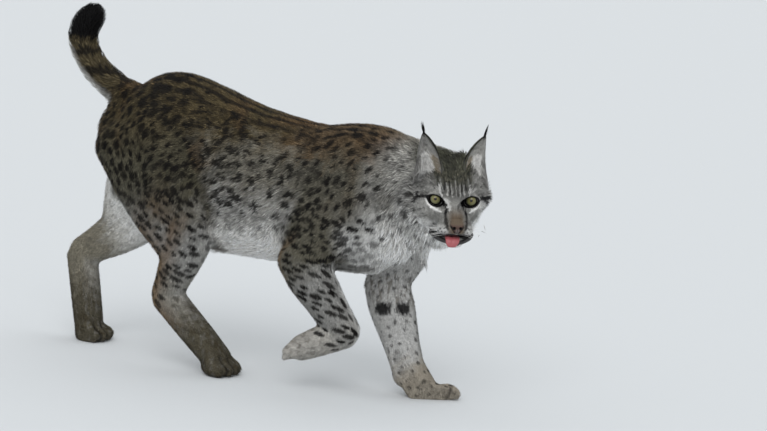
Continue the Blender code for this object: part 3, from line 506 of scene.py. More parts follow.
def back_lines(points, y, h):
    """How dark the long lines along the back are."""
    ridge = smooth(0.066 - abs(y), 0, 0.014) * smooth(h, 0.84, 0.95)
    drift = 0.7 * waves(points, 0.2, seed=34)
    return ridge * 0.85 * smooth(np.cos((abs(y) - 0.012) * 2 * math.pi / 0.019 + drift), -0.1, 0.6)


def toe_gaps(points):
    """1 in the three gaps between a planted paw's toes and 0 elsewhere: where the skin is grooved and shade is
    painted.
    """
    gaps = np.zeros(len(points))
    for name, (way, toe, start) in TOES.items():
        ahead = unit(np.array(way))
        aside = np.array((-ahead[1], ahead[0], 0.0))
        off = points - LIMBS[name][-1]
        here = smooth(off @ ahead, start, start + 0.018) * (np.linalg.norm(off[:, :2], axis=1) < 0.09)
        here *= 1 - smooth(points[:, 2], 0.040, 0.052)
        for k in (-1, 0, 1):
            gaps = np.maximum(gaps, here * np.exp(-((off @ aside - k * toe) / 0.0030) ** 2))
    return gaps


def outwards(normals, name):
    """How far each point of a leg faces away from the body."""
    out = -1 if name.endswith("right") else 1
    return smooth(normals[:, 1] * out, -0.25, 0.35)


def hind_leg_colour(points, normals, place, name):
    """A hind leg: brown-grey thigh, pale shin, white inside, a rusty line behind and a dark brown foot."""
    facing = normals[:, 0]
    ahead, behind, outer = smooth(facing, 0.15, 0.75), smooth(-facing, 0.25, 0.8), outwards(normals, name)
    rough = waves(points, 0.03, seed=35) * 0.08
    level = points[:, 2] + 0.25 * rough
    leg = mixed(plain(WHITE, len(points)), GREY_BROWN * 1.2, smooth(place + rough, 1.1, 1.7))
    leg = mixed(leg, PALE_GREY * 0.76, outer)
    leg = mixed(leg, GREY_BROWN * 0.62, outer * smooth(level, 0.25, 0.35))
    leg = mixed(leg, BACK * (1.1, 1.3, 1.7), outer * smooth(level + 0.02 * behind, 0.33, 0.41))
    leg = mixed(leg, PALE_GREY, ahead * smooth(place, 0.8, 1.2) * 0.7)
    leg = mixed(leg, BACK + RUST * 0.4, behind * smooth(place, 0.3, 0.7) * (0.15 + 0.85 * outer))
    shin = smooth(place + rough, 1.4, 1.8) * (0.45 + 0.55 * behind) * (1 - 0.5 * ahead)
    leg = mixed(leg, FOOT * 2.3, shin)
    leg = mixed(leg, FOOT, smooth(place + 2 * rough, 2.0, 2.7))
    line = smooth(-facing, -0.25, 0.45) * outer * smooth(place, 0.3, 0.7) * (1 - smooth(place, 2.2, 2.6))
    leg = mixed(leg, RUST * 1.3, line * 0.6)
    leg = mixed(leg, BACK * 0.5, behind * smooth(place, 2.0, 2.5) * 0.85)
    dark = smooth(waves(points, 0.045, seed=39), 0.0, 0.9)
    pale = smooth(waves(points, 0.020, seed=36), 0.2, 0.9)
    leg = mixed(leg, BACK * 0.6, dark * smooth(place, 1.9, 2.4) * 0.6)
    return mixed(leg, PALE_GREY * 0.6, pale * smooth(place, 2.0, 2.5) * 0.3)


def foreleg_colour(points, normals, place, name):
    """A foreleg: grey-brown arm, pale grey outside, white inside, and a cream or tan foot."""
    behind, outer = smooth(-normals[:, 0], 0.25, 0.8), outwards(normals, name)
    rough = waves(points, 0.03, seed=35) * 0.08
    x, z = points[:, 0] - ANCHOR[0], points[:, 2]
    near = name == "front_right"
    leg = plain(WHITE * (0.72 if near else 0.58), len(points))
    leg = mixed(leg, PALE_GREY * 0.65, outer * smooth(place, 0.7, 1.1))
    brisket = smooth(x, 0.19, 0.24) * (1 - smooth(z, 0.33, 0.38))
    arm = outer * (1 - smooth(place + rough, 0.9, 1.4)) * (1 - np.maximum(brisket, smooth(x, 0.235, 0.275)))
    leg = mixed(leg, SHOULDER * 1.6, arm)
    elbow = behind * smooth(place, 0.5, 0.9) * (1 - smooth(place, 1.2, 1.6))
    leg = mixed(leg, RUST * 1.2, elbow * 0.6 * outer)
    foot = smooth(place + rough, 1.8, 2.3)
    leg = mixed(leg, CREAM * 0.85 if near else TAN * 0.95, foot * (0.75 if near else 0.85))
    leg = mixed(leg, TAN * 0.7, behind * smooth(place, 1.6, 2.3) * 0.6)
    flecks = smooth(waves(points, 0.016, seed=40), 0.1, 0.8) * smooth(place, 2.1, 2.6)
    leg = mixed(leg, TAN * 0.35, flecks * 0.5)
    if near:
        return leg
    streaks = smooth(waves(points, 0.014, seed=38), 0.1, 0.6) * smooth(z, 0.17, 0.20)
    return mixed(leg, TAN * 0.4, streaks * (1 - smooth(z, 0.24, 0.27)) * 0.7)


def tail_colour(points, normals, share, colour):
    """The tail: brown-grey above with broken dark bands, pale below, and black over its last two fifths."""
    t = np.clip((points[:, 2] - TAIL_LINE[0][2] - 0.01) / (TAIL_LINE[-1][2] - TAIL_LINE[0][2]), 0, 1.2)
    rough = waves(points, 0.02, seed=41) * 0.05
    tail = plain(BACK * (1.15, 1.2, 1.3), len(points))
    tail = mixed(tail, SPOT, smooth(np.cos(t * 26 + 1.2 + waves(points, 0.03, seed=42)), 0.1, 0.6) * 0.85)
    under = smooth(-normals[:, 2] - 0.35 * normals[:, 0] + rough, 0.15, 0.6)
    tail = mixed(tail, PALE_GREY * 0.8, under * (1 - smooth(t, 0.4, 0.55)))
    tail = mixed(tail, BLACK * 0.6, smooth(t + rough, 0.56, 0.63))
    return colour + (tail - colour) * share[:, None]


def face_colour(points, share, colour):
    """The head: dark crown, brown bridge of the nose, grey cheeks, white muzzle, chin and throat, and the left
    cheek painted whiter as painted light on its lit side.
    """
    x, y, z = to_head(points).T * 1000
    side = abs(y)
    rough = waves(points, 0.03, seed=51)
    streak = waves(to_head(points) * (0.45, 1.5, 0.30), 0.0085, count=5, seed=53)
    face = plain(HEAD_GREY, len(points))
    face = mixed(face, HEAD_GREY * 0.42, smooth(z, 0, 16) * (1 - smooth(side, 26, 40)))
    face = mixed(face, CROWN, smooth(z + 5 * rough, 16, 50) * (1 - smooth(side, 32, 44)))
    streaked = smooth(streak, 0.0, 0.6) * smooth(z, 24, 36) * (1 - smooth(side, 34, 46))
    face = mixed(face, STREAK, streaked * 0.75)
    face = mixed(face, PALE_GREY * 0.75, smooth(side, 36, 48) * smooth(z, 22, 34) * 0.6)
    face = mixed(face, PALE_GREY * 0.9, smooth(side, 40, 62) * smooth(16 - z, -6, 24) * 0.7)
    face = mixed(face, WHITE * 0.9, smooth(-z + 0.25 * side, 50, 66))
    face = mixed(face, WHITE * 0.66, smooth(x, -24, -6) * smooth(-z, 36, 46) * smooth(side, 13, 20))
    face = mixed(face, WHITE, smooth(-z, 62, 68))
    # Painted light: the left cheek, on the lit side, is painted whiter.
    face = mixed(face, WHITE * 0.8, smooth(y, 44, 60) * smooth(6 - z, 0, 22) * 0.8)
    bridge = (1 - smooth(side, 7, 17 + 0.12 * x)) * smooth(-z, 2, 24) * smooth(x, -5, 8)
    face = mixed(face, BRIDGE, bridge * (1 - smooth(-z, 50, 54)))
    face = mixed(face, HEAD_GREY * 0.9, smooth(-x, 70, 110) * smooth(-z, -30, -10) * 0.6)
    ticks = waves(points, 0.0085, count=6, seed=52)
    face = face * (1 + 0.12 * rough + 0.30 * ticks * smooth(side, 16, 26))[:, None]
    colour = colour + (face - colour) * share[:, None]
    wide = 34 + 34 * smooth(-x, 75, 115)
    nape = smooth(z, 34, 48) * (1 - smooth(-x, 130, 190)) * (1 - smooth(side / wide, 0.75, 1.15))
    return mixed(colour, CROWN * (1 + 1.2 * smooth(streak, 0, 0.6))[:, None], nape * smooth(-x, 20, 60))


# The legs' spots: how far apart, mean half width, how drawn out, the place down the leg where they fade, and
# how dark they are inside.
SPOT_SIZES = {"hind_right": (0.0138, 0.0082, 2.1, 1.9, 0.25), "hind_left": (0.0150, 0.0060, 1.8, 1.9, 0.22),
              "front_right": (0.0112, 0.0074, 2.8, 2.35, 0.60), "front_left": (0.0150, 0.0040, 1.2, 2.70, 0.75)}
SPOT_TRIES, ROSETTE_TRIES = 32000, 6000
ROSETTE_SPACING = 0.050


def spot_spacing(points, masks):
    """How far apart the spots stand, their mean half width, how drawn out, how dark and how ragged they
    are."""
    haunch, shoulder, neck, h = regions(points)
    flank = (1 - haunch) * (1 - shoulder)
    rump = smooth(h, 0.72, 0.86)
    gap = (0.0150 + 0.0050 * rump) * haunch + 0.0165 * shoulder + 0.0270 * flank
    half = (0.0088 + 0.0030 * rump) * haunch + 0.0086 * shoulder + 0.0052 * flank
    stretch = 1.3 * haunch + 1.6 * shoulder + 1.5 * flank
    ragged = 1.2 * haunch + 1.2 * shoulder + 1.8 * flank
    dark = 0.15 + 0.85 * smooth(h, 0.12, 0.36)
    gap += 0.012 * (1 - smooth(h, 0.05, 0.30))
    gap, half, dark = gap + neck * (0.0200 - gap), half + neck * (0.0050 - half), dark * (1 - 0.25 * neck)
    for name, joints in LIMBS.items():
        place, offset = limb_place(points, joints)
        share = masks[name] * smooth(place, 0.1, 0.5)
        out = -1 if name.endswith("right") else 1
        outer = smooth(offset[:, 1] * out, -0.012, 0.010)
        low = smooth(place, 0.6, 1.0)
        wanted, size, drawn, last, inner = SPOT_SIZES[name]
        shade = (outer + inner * (1 - outer)) * (1 - 0.8 * smooth(place, last, last + 0.35))
        gap += share * (wanted - gap)
        half += share * (size - half)
        stretch += share * (1.4 + (drawn - 1.4) * low - stretch)
        ragged += share * (1.2 - 0.7 * low - ragged)
        dark += share * (shade - dark)
    head = masks["head"]
    gap, half, dark = gap + head * (0.0135 - gap), half + head * (0.0032 - half), dark + head * (0.75 - dark)
    dark *= 1 - head * smooth(to_head(points)[:, 0], -0.035, -0.015)
    return gap, half, stretch, dark * (1 - masks["tail"]), ragged


def scattered_spots(points, normals, flow, masks):
    """Spots set apart by their spacing, measured shorter along their own length. Places are drawn over the
    skin, and each is kept if no kept one is nearer than that. Returns the spots and how ragged their rims
    are."""
    gap, half, stretch, dark, ragged = spot_spacing(points, masks)
    leg = sum(masks[name] for name in LIMBS) * smooth(0.40 - points[:, 2], 0, 0.06)
    ahead = np.array((1.0, 0.0, -0.2)) - np.array((0, 0, 0.3)) * (points[:, :1] < 0.02)
    bars = flattened(ahead, normals)
    axis = unit(flow * (1 - leg)[:, None] + bars * (2.5 * leg)[:, None])
    picks = DRAWS.choice(len(points), SPOT_TRIES, replace=False)
    kept = []
    places = np.full((len(picks), 3), 99.0)
    for i in picks:
        off = places[:len(kept)] - points[i]
        along = off @ axis[i]
        if not (dot(off, off) - (1 - 1 / stretch[i] ** 2) * along ** 2 < gap[i] ** 2).any():
            places[len(kept)] = points[i]
            kept.append(i)
    kept = np.array(kept)
    size = half[kept] * DRAWS.uniform(0.70, 1.30, len(kept))
    drawn = np.sqrt(stretch[kept] * DRAWS.uniform(0.8, 1.3, len(kept)))
    dark = dark[kept] * DRAWS.uniform(0.88, 1.0, len(kept))
    spots = list(zip(points[kept], normals[kept], axis[kept], size * drawn, size / drawn, dark))
    return spots + rosettes(points, normals, flow, masks), ragged


def rosettes(points, normals, flow, masks):
    """Broken rings of dark marks round a browner middle, on the flank and the shoulder."""
    haunch, shoulder, neck, h = regions(points)
    share = (1 - 0.6 * haunch) * (1 - 0.3 * shoulder) * (1 - neck)
    share = share * smooth(h, 0.22, 0.36) * (1 - smooth(h, 0.86, 0.94))
    share *= 1 - sum(masks.values())
    picks = DRAWS.choice(np.flatnonzero(share > 0.25), ROSETTE_TRIES, replace=False)
    found = []
    for i in picks:
        off = points[found] - points[i]
        if not (dot(off, off) < ROSETTE_SPACING ** 2).any():
            found.append(i)
    spots = []
    for i in found:
        aside = np.cross(normals[i], flow[i])
        spots.append((points[i], normals[i], flow[i], 0.015, 0.011, 0.42 * share[i]))
        count = DRAWS.integers(4, 7)
        start = DRAWS.uniform(0, 2 * math.pi)
        for k in range(count):
            turn = start + 2 * math.pi * (k + DRAWS.uniform(-0.25, 0.25)) / count
            c, s = math.cos(turn), math.sin(turn)
            reach = (0.0200 * abs(c) + 0.0150 * abs(s)) * DRAWS.uniform(0.8, 1.15)
            size = 0.0082 * DRAWS.uniform(0.7, 1.3)
            axis = unit(c * aside - s * flow[i] + 0.6 * flow[i])
            place = points[i] + reach * (c * flow[i] + s * aside)
            spots.append((place, normals[i], axis, size * 1.35, size / 1.25, 0.95 * share[i]))
    return spots


def spotted(points, normals, spots, ragged):
    """How dark each point is under the spots: 1 inside an oval round each spot's place, ragged at its rim."""
    tree = KDTree(len(points))
    for i, p in enumerate(points.tolist()):
        tree.insert(p, i)
    tree.balance()
    shade = np.zeros(len(points))
    rim = (waves(points, 0.011, seed=61) * 0.22 + waves(points, 0.0055, seed=62) * 0.16) * ragged
    for place, normal, axis, long, wide, dark in spots:
        near = np.array([n for _, n, _ in tree.find_range(place, long * 1.7)], int)
        off = points[near] - place
        level = np.cross(normal, axis)
        reach = np.sqrt((off @ axis / long) ** 2 + (off @ level / wide) ** 2)
        facing = normals[near] @ normal > 0
        mark = dark * (1 - smooth(reach + rim[near], 0.82, 1.12)) * facing
        np.maximum.at(shade, near, mark)
    return shade, tree


# Marks of the face: points ahead, across and up in millimetres from between the eyes, or only across and up
# where they are set on the face from the front. Then half width, ink and how strong.
FACE_MARKS = [
    (((0, 14), (0, 28), (0, 44)), 1.0, PALE_GREY * 0.7, 0.5),
    (((4.0, 12), (4.0, 26), (5.5, 50)), 1.6, BLACK, 0.9),
    (((8.0, 12), (8.4, 24), (9.0, 33)), 1.1, PALE_GREY, 0.7),
    (((12.0, 14), (11.5, 28), (12.8, 52)), 1.8, BLACK, 0.9),
    (((16.5, 12), (15.8, 24), (17, 33)), 1.6, PALE_GREY, 0.85),
    (((22.0, 22), (20.5, 32), (20.5, 48)), 1.9, BLACK, 0.85),
    (((27.5, 28), (28, 34), (27, 40)), 1.5, PALE_GREY * 0.8, 0.6),
    (((33, 26), (32, 36), (30, 48)), 2.0, BLACK, 0.75),
    (((31, 31), (30, 22), (27.5, 13), (23, 5)), 1.8, WHITE * 0.65, 0.8),
    (((25, 10), (20, 4), (16.5, -2), (14, -8), (12.5, -12)), 3.7, WHITE * 0.68, 0.8),
    (((38, 19), (46, 20), (52, 17)), 1.6, PALE_GREY, 0.6),
    (((56, 5), (54, -4), (47, -11.5), (37.5, -16.0), (28, -18.0)), 2.4, WHITE * 0.95, 0.95),
    (((21, -15), (20.5, -24), (20, -33), (17, -45)), 3.2, SPOT * 1.5, 0.9),
    (((18.5, -2), (18.5, -8), (19, -14), (20, -20)), 3.0, BLACK, 1.0),
    (((-1, 50.9, 5), (-19, 57.3, 2.5), (-33, 64, 0), (-49, 71, -3), (-62, 76, -4), (-76, 78, -6)),
     3.8, BLACK, 1.0),
    (((-40, 67, -2), (-50, 73, -10), (-57, 77, -18), (-62, 80, -27)), 3.6, BLACK, 0.9),
    (((-14, 58, 13), (-30, 64, 9), (-48, 70, 4)), 2.2, SPOT, 0.55),
    (((-5, 52, -18), (-14, 60, -23), (-28, 68, -30)), 2.0, SPOT, 0.6),
    (((2, 50, -30), (-10, 58, -36), (-24, 65, -42)), 1.8, SPOT, 0.5),
    (((38, 24), (45, 27), (52, 24)), 2.4, SPOT, 0.6),
    (((0, -53), (0, -60)), 0.9, BLACK, 0.9),
]
# The open mouth's marks: black along the lips, and painted shade in the open mouth between them. They also keep
# the hair off.
MOUTH_MARKS = [
    (((-18, 41, -66), (-6, 41, -66.5), (5, 39.5, -66), (15, 36, -67), (28, 28, -68), (42, 17, -68.5),
      (50, 6, -68),
      (51, 0, -68)), 6.0, BLACK, 1.0),
    (((20, 34.5, -62.5), (28, 30, -62), (45, 18, -61.5), (53, 6, -61.5), (54, 0, -61), (54, 0, -68)),
     4.6, BLACK, 1.0),
]
# Dark spots of the face: place across and up in millimetres, half width, and how strong.
FACE_SPOTS = [
    (24, -44, 1.9, 0.9), (30, -45, 1.9, 0.9), (36, -47, 1.7, 0.85), (22, -49.5, 1.9, 0.9),
    (28, -50.5, 2.0, 0.9),
    (34, -52, 1.9, 0.9), (39, -54, 1.6, 0.8), (25, -55.5, 1.7, 0.85), (31, -57, 1.8, 0.85), (39, 21, 2.2, 0.7),
    (50, -33, 2.0, 0.6), (58, -30, 2.2, 0.6),
]
# Dark patches of the ruff: place ahead, across and up in millimetres, and their reach along and up.
RUFF_PATCHES = [
    (-88, 85, -54, 8, 13), (-41, 72, -57, 5, 7), (-46, 65, -85, 5, 11), (-60, 80, -34, 6, 9),
    (-78, 78, -74, 6, 9), (-84, 78, -12, 10, 6), (-100, 80, -30, 7, 10),
]
# The two black blotches round the far foreleg: place, half width and half height.
LEG_BLOTCHES = [(0.256, 0.036, 0.176, 0.019, 0.0135), (0.297, 0.046, 0.180, 0.016, 0.0130)]


def marked_face(points, normals, tree, colour):
    """Draws the face's marks on both sides, each as dots along a smooth line moved onto the skin, and painted
    shade in the open mouth. Returns the colours and the points in the open mouth, where no hair grows."""
    local = to_head(points) * 1000
    facing = (normals @ HEAD_TURN)[:, 0]
    near_face = (local[:, 0] > -110) & (abs(local[:, 1]) < 95) & (local[:, 2] > -95) & (local[:, 2] < 75)
    front = np.flatnonzero(near_face)
    near = local[front]
    wobble = waves(points[front], 0.006, seed=71) * 0.22
    open_mouth = np.zeros(len(points), bool)

    def on_skin(spot, out):
        spot = np.array(spot, float)
        if len(spot) == 3:
            found = tree.find(from_head(spot * (1, out, 1) / 1000).tolist())[0]
            return to_head(np.array(found)[None])[0] * 1000
        off = np.hypot(near[:, 1] - out * spot[0], near[:, 2] - spot[1]) + 40 * (facing[front] < 0.15)
        return near[np.argmin(off)]

    def ink_over(path, widths, ink, strength):
        off = np.full(len(front), 9.0)
        for spot, wide in zip(path, widths):
            off = np.minimum(off, np.linalg.norm(near - spot, axis=1) / wide)
        share = strength * (1 - smooth(off + wobble, 0.7, 1.35))
        colour[front] += (ink - colour[front]) * share[:, None]
        return share

    for k, (line, half, ink, strength) in enumerate(FACE_MARKS + MOUTH_MARKS):
        line = np.array(line, float)
        t = np.linspace(0, len(line) - 1, 7 * len(line))
        path = np.stack([np.interp(t, np.arange(len(line)), column) for column in line.T], 1)
        path[1:-1] = (path[:-2] + path[1:-1] * 2 + path[2:]) / 4
        widths = half * np.interp(t / (len(line) - 1), (0, 0.15, 0.85, 1), (0.5, 1, 1, 0.5))
        for out in SIDES.values():
            share = ink_over([on_skin(spot, out) for spot in path], widths, ink, strength)
            if k >= len(FACE_MARKS):
                open_mouth[front[share > 0.20]] = True
    for across, up, half, strength in FACE_SPOTS:
        for out in SIDES.values():
            ink_over([on_skin((across, up), out)], [half], SPOT, strength)
    x, y, z = local.T
    # Painted shade: the open mouth between the lips is painted black.
    mouth_shade = smooth(-z, 58.5, 60.5) * (1 - smooth(-z, 67.5, 70)) * smooth(x, 4, 14) * (abs(y) < 45)
    colour += (BLACK - colour) * mouth_shade[:, None]
    open_mouth |= mouth_shade > 0.4
    wobble = waves(points, 0.010, seed=72) * 0.25
    for ahead, across, up, long, tall in RUFF_PATCHES:
        off = np.hypot(np.hypot((x - ahead) / long, (z - up) / tall), (abs(y) - across) / 14)
        share = 0.85 * (1 - smooth(off + wobble, 0.7, 1.3))
        colour += (SPOT - colour) * share[:, None]
    return colour, open_mouth


def lid_axes(side):
    """The eyeball's middle, the way out of its opening, along the opening's slant and across that."""
    out = SIDES[side]
    slant, aim = math.radians(LID_SLANT), EYE_AIM[side]
    ahead = np.array((math.cos(aim), out * math.sin(aim), 0))
    across = np.array((-ahead[1], ahead[0], 0)) * out
    wide = across * math.cos(slant) + np.array((0, 0, 1)) * math.sin(slant)
    tall = np.cross(ahead, wide) * out
    return eye_middle(side), ahead, wide, tall * np.sign(tall[2])


def with_sockets(local):
    """The skin's points in the head's frame, those under the lids moved back to lie close over the
    eyeball."""
    local = local.copy()
    for side in SIDES:
        centre, ahead, wide, tall = lid_axes(side)
        off = local - centre
        aside, high, deep = off @ wide, off @ tall, off @ ahead
        height = high / np.where(high > 0, LID_ABOVE, LID_BELOW)
        reach = np.hypot(aside / np.where(aside < 0, 1.25 * LID_WIDE, LID_WIDE), height)
        opening = np.hypot(aside / LID_WIDE, height)
        radius = EYE_RADIUS - 0.003 + 0.0038 * smooth(opening, 0.92, 1.02)
        floor = np.sqrt(np.maximum(radius ** 2 - aside ** 2 - high ** 2, (0.30 * radius) ** 2))
        share = (1 - smooth(reach, 1.16, 1.36)) * (deep > floor)
        local += ahead * ((floor - deep) * share)[:, None]
    return local


def node_masks(owner, edges):
    """A share from 0 to 1 for each limb, the head and the tail, spread softly over their borders."""
    masks = {}
    for name in LIMBS:
        mine = np.isin(owner, [FLESH.index(f"leg_{name}"), FLESH.index(f"paw_{name}")]).astype(float)
        masks[name] = smooth(diffused(mine, edges, 60), 0.1, 0.9)
    for name in ("head", "tail"):
        masks[name] = smooth(diffused((owner == FLESH.index(name)).astype(float), edges, 60), 0.05, 0.95)
    return masks


def shaped_head(points, edges, masks, face):
    """The coat's outer form: softened away from the face, with whisker pads, a fuller crown and a flatter
    left cheek."""
    local = to_head(points)
    points = diffused(points, edges, 6, hold=1 - 0.85 * face)
    for out in SIDES.values():
        gap = np.linalg.norm((local - (0.036, out * 0.027, -0.050)) / (0.016, 0.011, 0.010), axis=1)
        swell = 0.0042 * np.exp(-gap ** 2 / 2) * masks["head"]
        points += HEAD_TURN @ np.array((0.3, out, 0.0)) * swell[:, None]
    crown = np.exp(-((local[:, 0] + 0.075) / 0.034) ** 2 - ((local[:, 1] - 0.026) / 0.017) ** 2)
    points += HEAD_TURN[:, 2] * (0.020 * crown * smooth(local[:, 2], 0.025, 0.045))[:, None]
    cheek = smooth(local[:, 1], 0.032, 0.060) * smooth(-local[:, 2], 0.000, 0.045)
    cheek = cheek * smooth(local[:, 0], -0.12, -0.08)
    points -= HEAD_TURN[:, 1] * (0.0155 * cheek * masks["head"])[:, None]
    return points


def marked_coat(coat):
    """The coat's colours with its spots, blotches and face marks, painted shade in the gaps between the toes,
    and the points in the open mouth.
    """
    points, normals, masks = coat.points, coat.normals, coat.masks
    colour = base_colour(points, normals, masks)
    shade, coat.tree = spotted(points, normals, *scattered_spots(points, normals, coat.flow, masks))
    blotch = waves(points, 0.030, seed=63) + 0.6 * waves(points, 0.012, seed=64)
    blotch = smooth(blotch, 0.45, 0.95) * smooth(regions(points)[3], 0.42, 0.62)
    blotch = blotch * (1 - masks["head"]) * (1 - masks["tail"])
    colour = mixed(colour, SPOT, np.maximum(shade, 0.55 * blotch))
    rough = 0.2 * waves(points, 0.01, seed=65)
    for x, y, z, across, tall in LEG_BLOTCHES:
        off = points - ANCHOR - (x, y, z)
        reach = np.hypot(np.hypot(off[:, 0], off[:, 1]) / across, off[:, 2] / tall)
        colour = mixed(colour, BLACK, 0.95 * (1 - smooth(reach + rough, 0.8, 1.2)))
    # Painted shade: the gaps between the toes are darkened.
    colour = mixed(colour, SPOT, 0.75 * coat.toes)
    colour, coat.open_mouth = marked_face(points, normals, coat.tree, colour)
    coat.colour = np.clip(colour, 0, 1)


class Coat:
    """The fine skin's object, and at each of its points its place, normal, node, masks, lie of the hair,
    length, depth under the tips, colour, toe gaps and whether it is in the open mouth, with a tree to find
    the nearest point."""


def make_coat():
    """The fine skin, shaped under the coat, with all that the tufts need at each of its points."""
    coat = Coat()
    coat.obj = obj = fine_skin()
    points, edges, normals = co(obj.data), read(obj.data.edges, "vertices", 2, int), normals_of(obj.data)
    points = drawn_in_locks(obj, points, normals, edges)
    coat.owner = owners(points)
    coat.masks = masks = node_masks(coat.owner, edges)
    face = smooth(to_head(points)[:, 0], -0.03, 0.0) * masks["head"]
    points = shaped_head(points, edges, masks, face)
    set_co(obj.data, points)
    normals = unit(diffused(normals_of(obj.data), edges, 8, hold=1 - 0.8 * face))
    coat.depth = diffused(coat_depth(points, masks), edges, 6)
    inward = normals * coat.depth[:, None]
    inward[:, 2] *= smooth(points[:, 2], 0.0, 0.02)
    points = points - inward
    points = diffused(points, edges, 5, hold=(1 - 0.85 * face) * smooth(points[:, 2], 0.001, 0.02))
    paw = 1 - smooth(np.linalg.norm(points - LIMBS["front_right"][-1], axis=1), 0.035, 0.060)
    points = diffused(points, edges, 16, hold=paw)
    points = from_head(with_sockets(to_head(points)))
    coat.toes = toe_gaps(points)
    points -= normals * (TOE_GROOVE * coat.toes)[:, None]
    set_co(obj.data, points)
    coat.points = points
    coat.normals = unit(diffused(normals_of(obj.data), edges, 3, hold=1 - 0.6 * face))
    coat.flow = lie(points, coat.normals)
    coat.length = coat_length(points, masks)
    marked_coat(coat)
    return coat


def streak_group():
    """Fine streaks for skin, coat and bare leather: noise that lightens and darkens a colour, and gives a
    height."""
    group = bpy.data.node_groups.new("hair streaks", "ShaderNodeTree")
    for name, way, kind in (("Colour", "INPUT", "Color"), ("Scale", "INPUT", "Float"),
                            ("Strength", "INPUT", "Float"), ("Colour", "OUTPUT", "Color"),
                            ("Height", "OUTPUT", "Float")):
        group.interface.new_socket(name, in_out=way, socket_type="NodeSocket" + kind)
    nodes, links = group.nodes, group.links
    entry, leave = nodes.new("NodeGroupInput"), nodes.new("NodeGroupOutput")
    place, noise = nodes.new("ShaderNodeTexCoord"), nodes.new("ShaderNodeTexNoise")
    noise.inputs["Detail"].default_value = 4.0
    links.new(place.outputs["Object"], noise.inputs["Vector"])
    links.new(entry.outputs["Scale"], noise.inputs["Scale"])
    spread = nodes.new("ShaderNodeMapRange")
    for name, value in (("From Min", 0.3), ("From Max", 0.7), ("To Min", -1.0), ("To Max", 1.0)):
        spread.inputs[name].default_value = value
    links.new(noise.outputs["Fac"], spread.inputs["Value"])
    gain = nodes.new("ShaderNodeMath")
    gain.operation = "MULTIPLY_ADD"
    gain.inputs[2].default_value = 1.0
    links.new(spread.outputs["Result"], gain.inputs[0])
    links.new(entry.outputs["Strength"], gain.inputs[1])
    scale = nodes.new("ShaderNodeVectorMath")
    scale.operation = "SCALE"
    links.new(entry.outputs["Colour"], scale.inputs[0])
    links.new(gain.outputs["Value"], scale.inputs["Scale"])
    links.new(scale.outputs["Vector"], leave.inputs["Colour"])
    links.new(noise.outputs["Fac"], leave.inputs["Height"])
    return group


def principled(name, **values):
    """A new material with its shader, whose sockets get the values: two_words stands for the socket Two
    Words."""
    material = bpy.data.materials.new(name)
    material.use_nodes = True
    shader = material.node_tree.nodes["Principled BSDF"]
    for socket, value in values.items():
        title = " ".join(word.capitalize() for word in socket.split("_")).replace("Ior", "IOR")
        shader.inputs[title].default_value = value
    return material, shader


def streaked(material, shader, streaks, scale, strength, bump):
    """Adds the streaks to a material, with a bump of the same grain where one is given. Returns their
    node."""
    nodes, links = material.node_tree.nodes, material.node_tree.links
    group = nodes.new("ShaderNodeGroup")
    group.node_tree = streaks
    group.inputs["Scale"].default_value = scale
    group.inputs["Strength"].default_value = strength
    links.new(group.outputs["Colour"], shader.inputs["Base Color"])
    if bump:
        relief = nodes.new("ShaderNodeBump")
        relief.inputs["Distance"].default_value = bump
        links.new(group.outputs["Height"], relief.inputs["Height"])
        links.new(relief.outputs["Normal"], shader.inputs["Normal"])
    return group


def coat_material(name, streaks, strength, scale, roughness, bump=0.0):
    """A coat or skin finish: the piece's own colour attribute, streaked, and for skin a fine bump."""
    material, shader = principled(name, roughness=roughness, specular_ior_level=0.10, sheen_weight=0.02,
                                  sheen_roughness=0.5)
    group = streaked(material, shader, streaks, scale, strength, bump)
    colour = material.node_tree.nodes.new("ShaderNodeAttribute")
    colour.attribute_name = "coat"
    material.node_tree.links.new(colour.outputs["Color"], group.inputs["Colour"])
    return material


def plain_material(name, colour, roughness, scale, strength, bump, streaks, coat_weight):
    """A bare finish: one colour broken by fine noise, with a bump of the same grain, under a wet coat."""
    material, shader = principled(name, roughness=roughness, coat_weight=coat_weight, coat_roughness=0.15)
    group = streaked(material, shader, streaks, scale, strength, bump)
    group.inputs["Colour"].default_value = (*colour, 1)
    return material


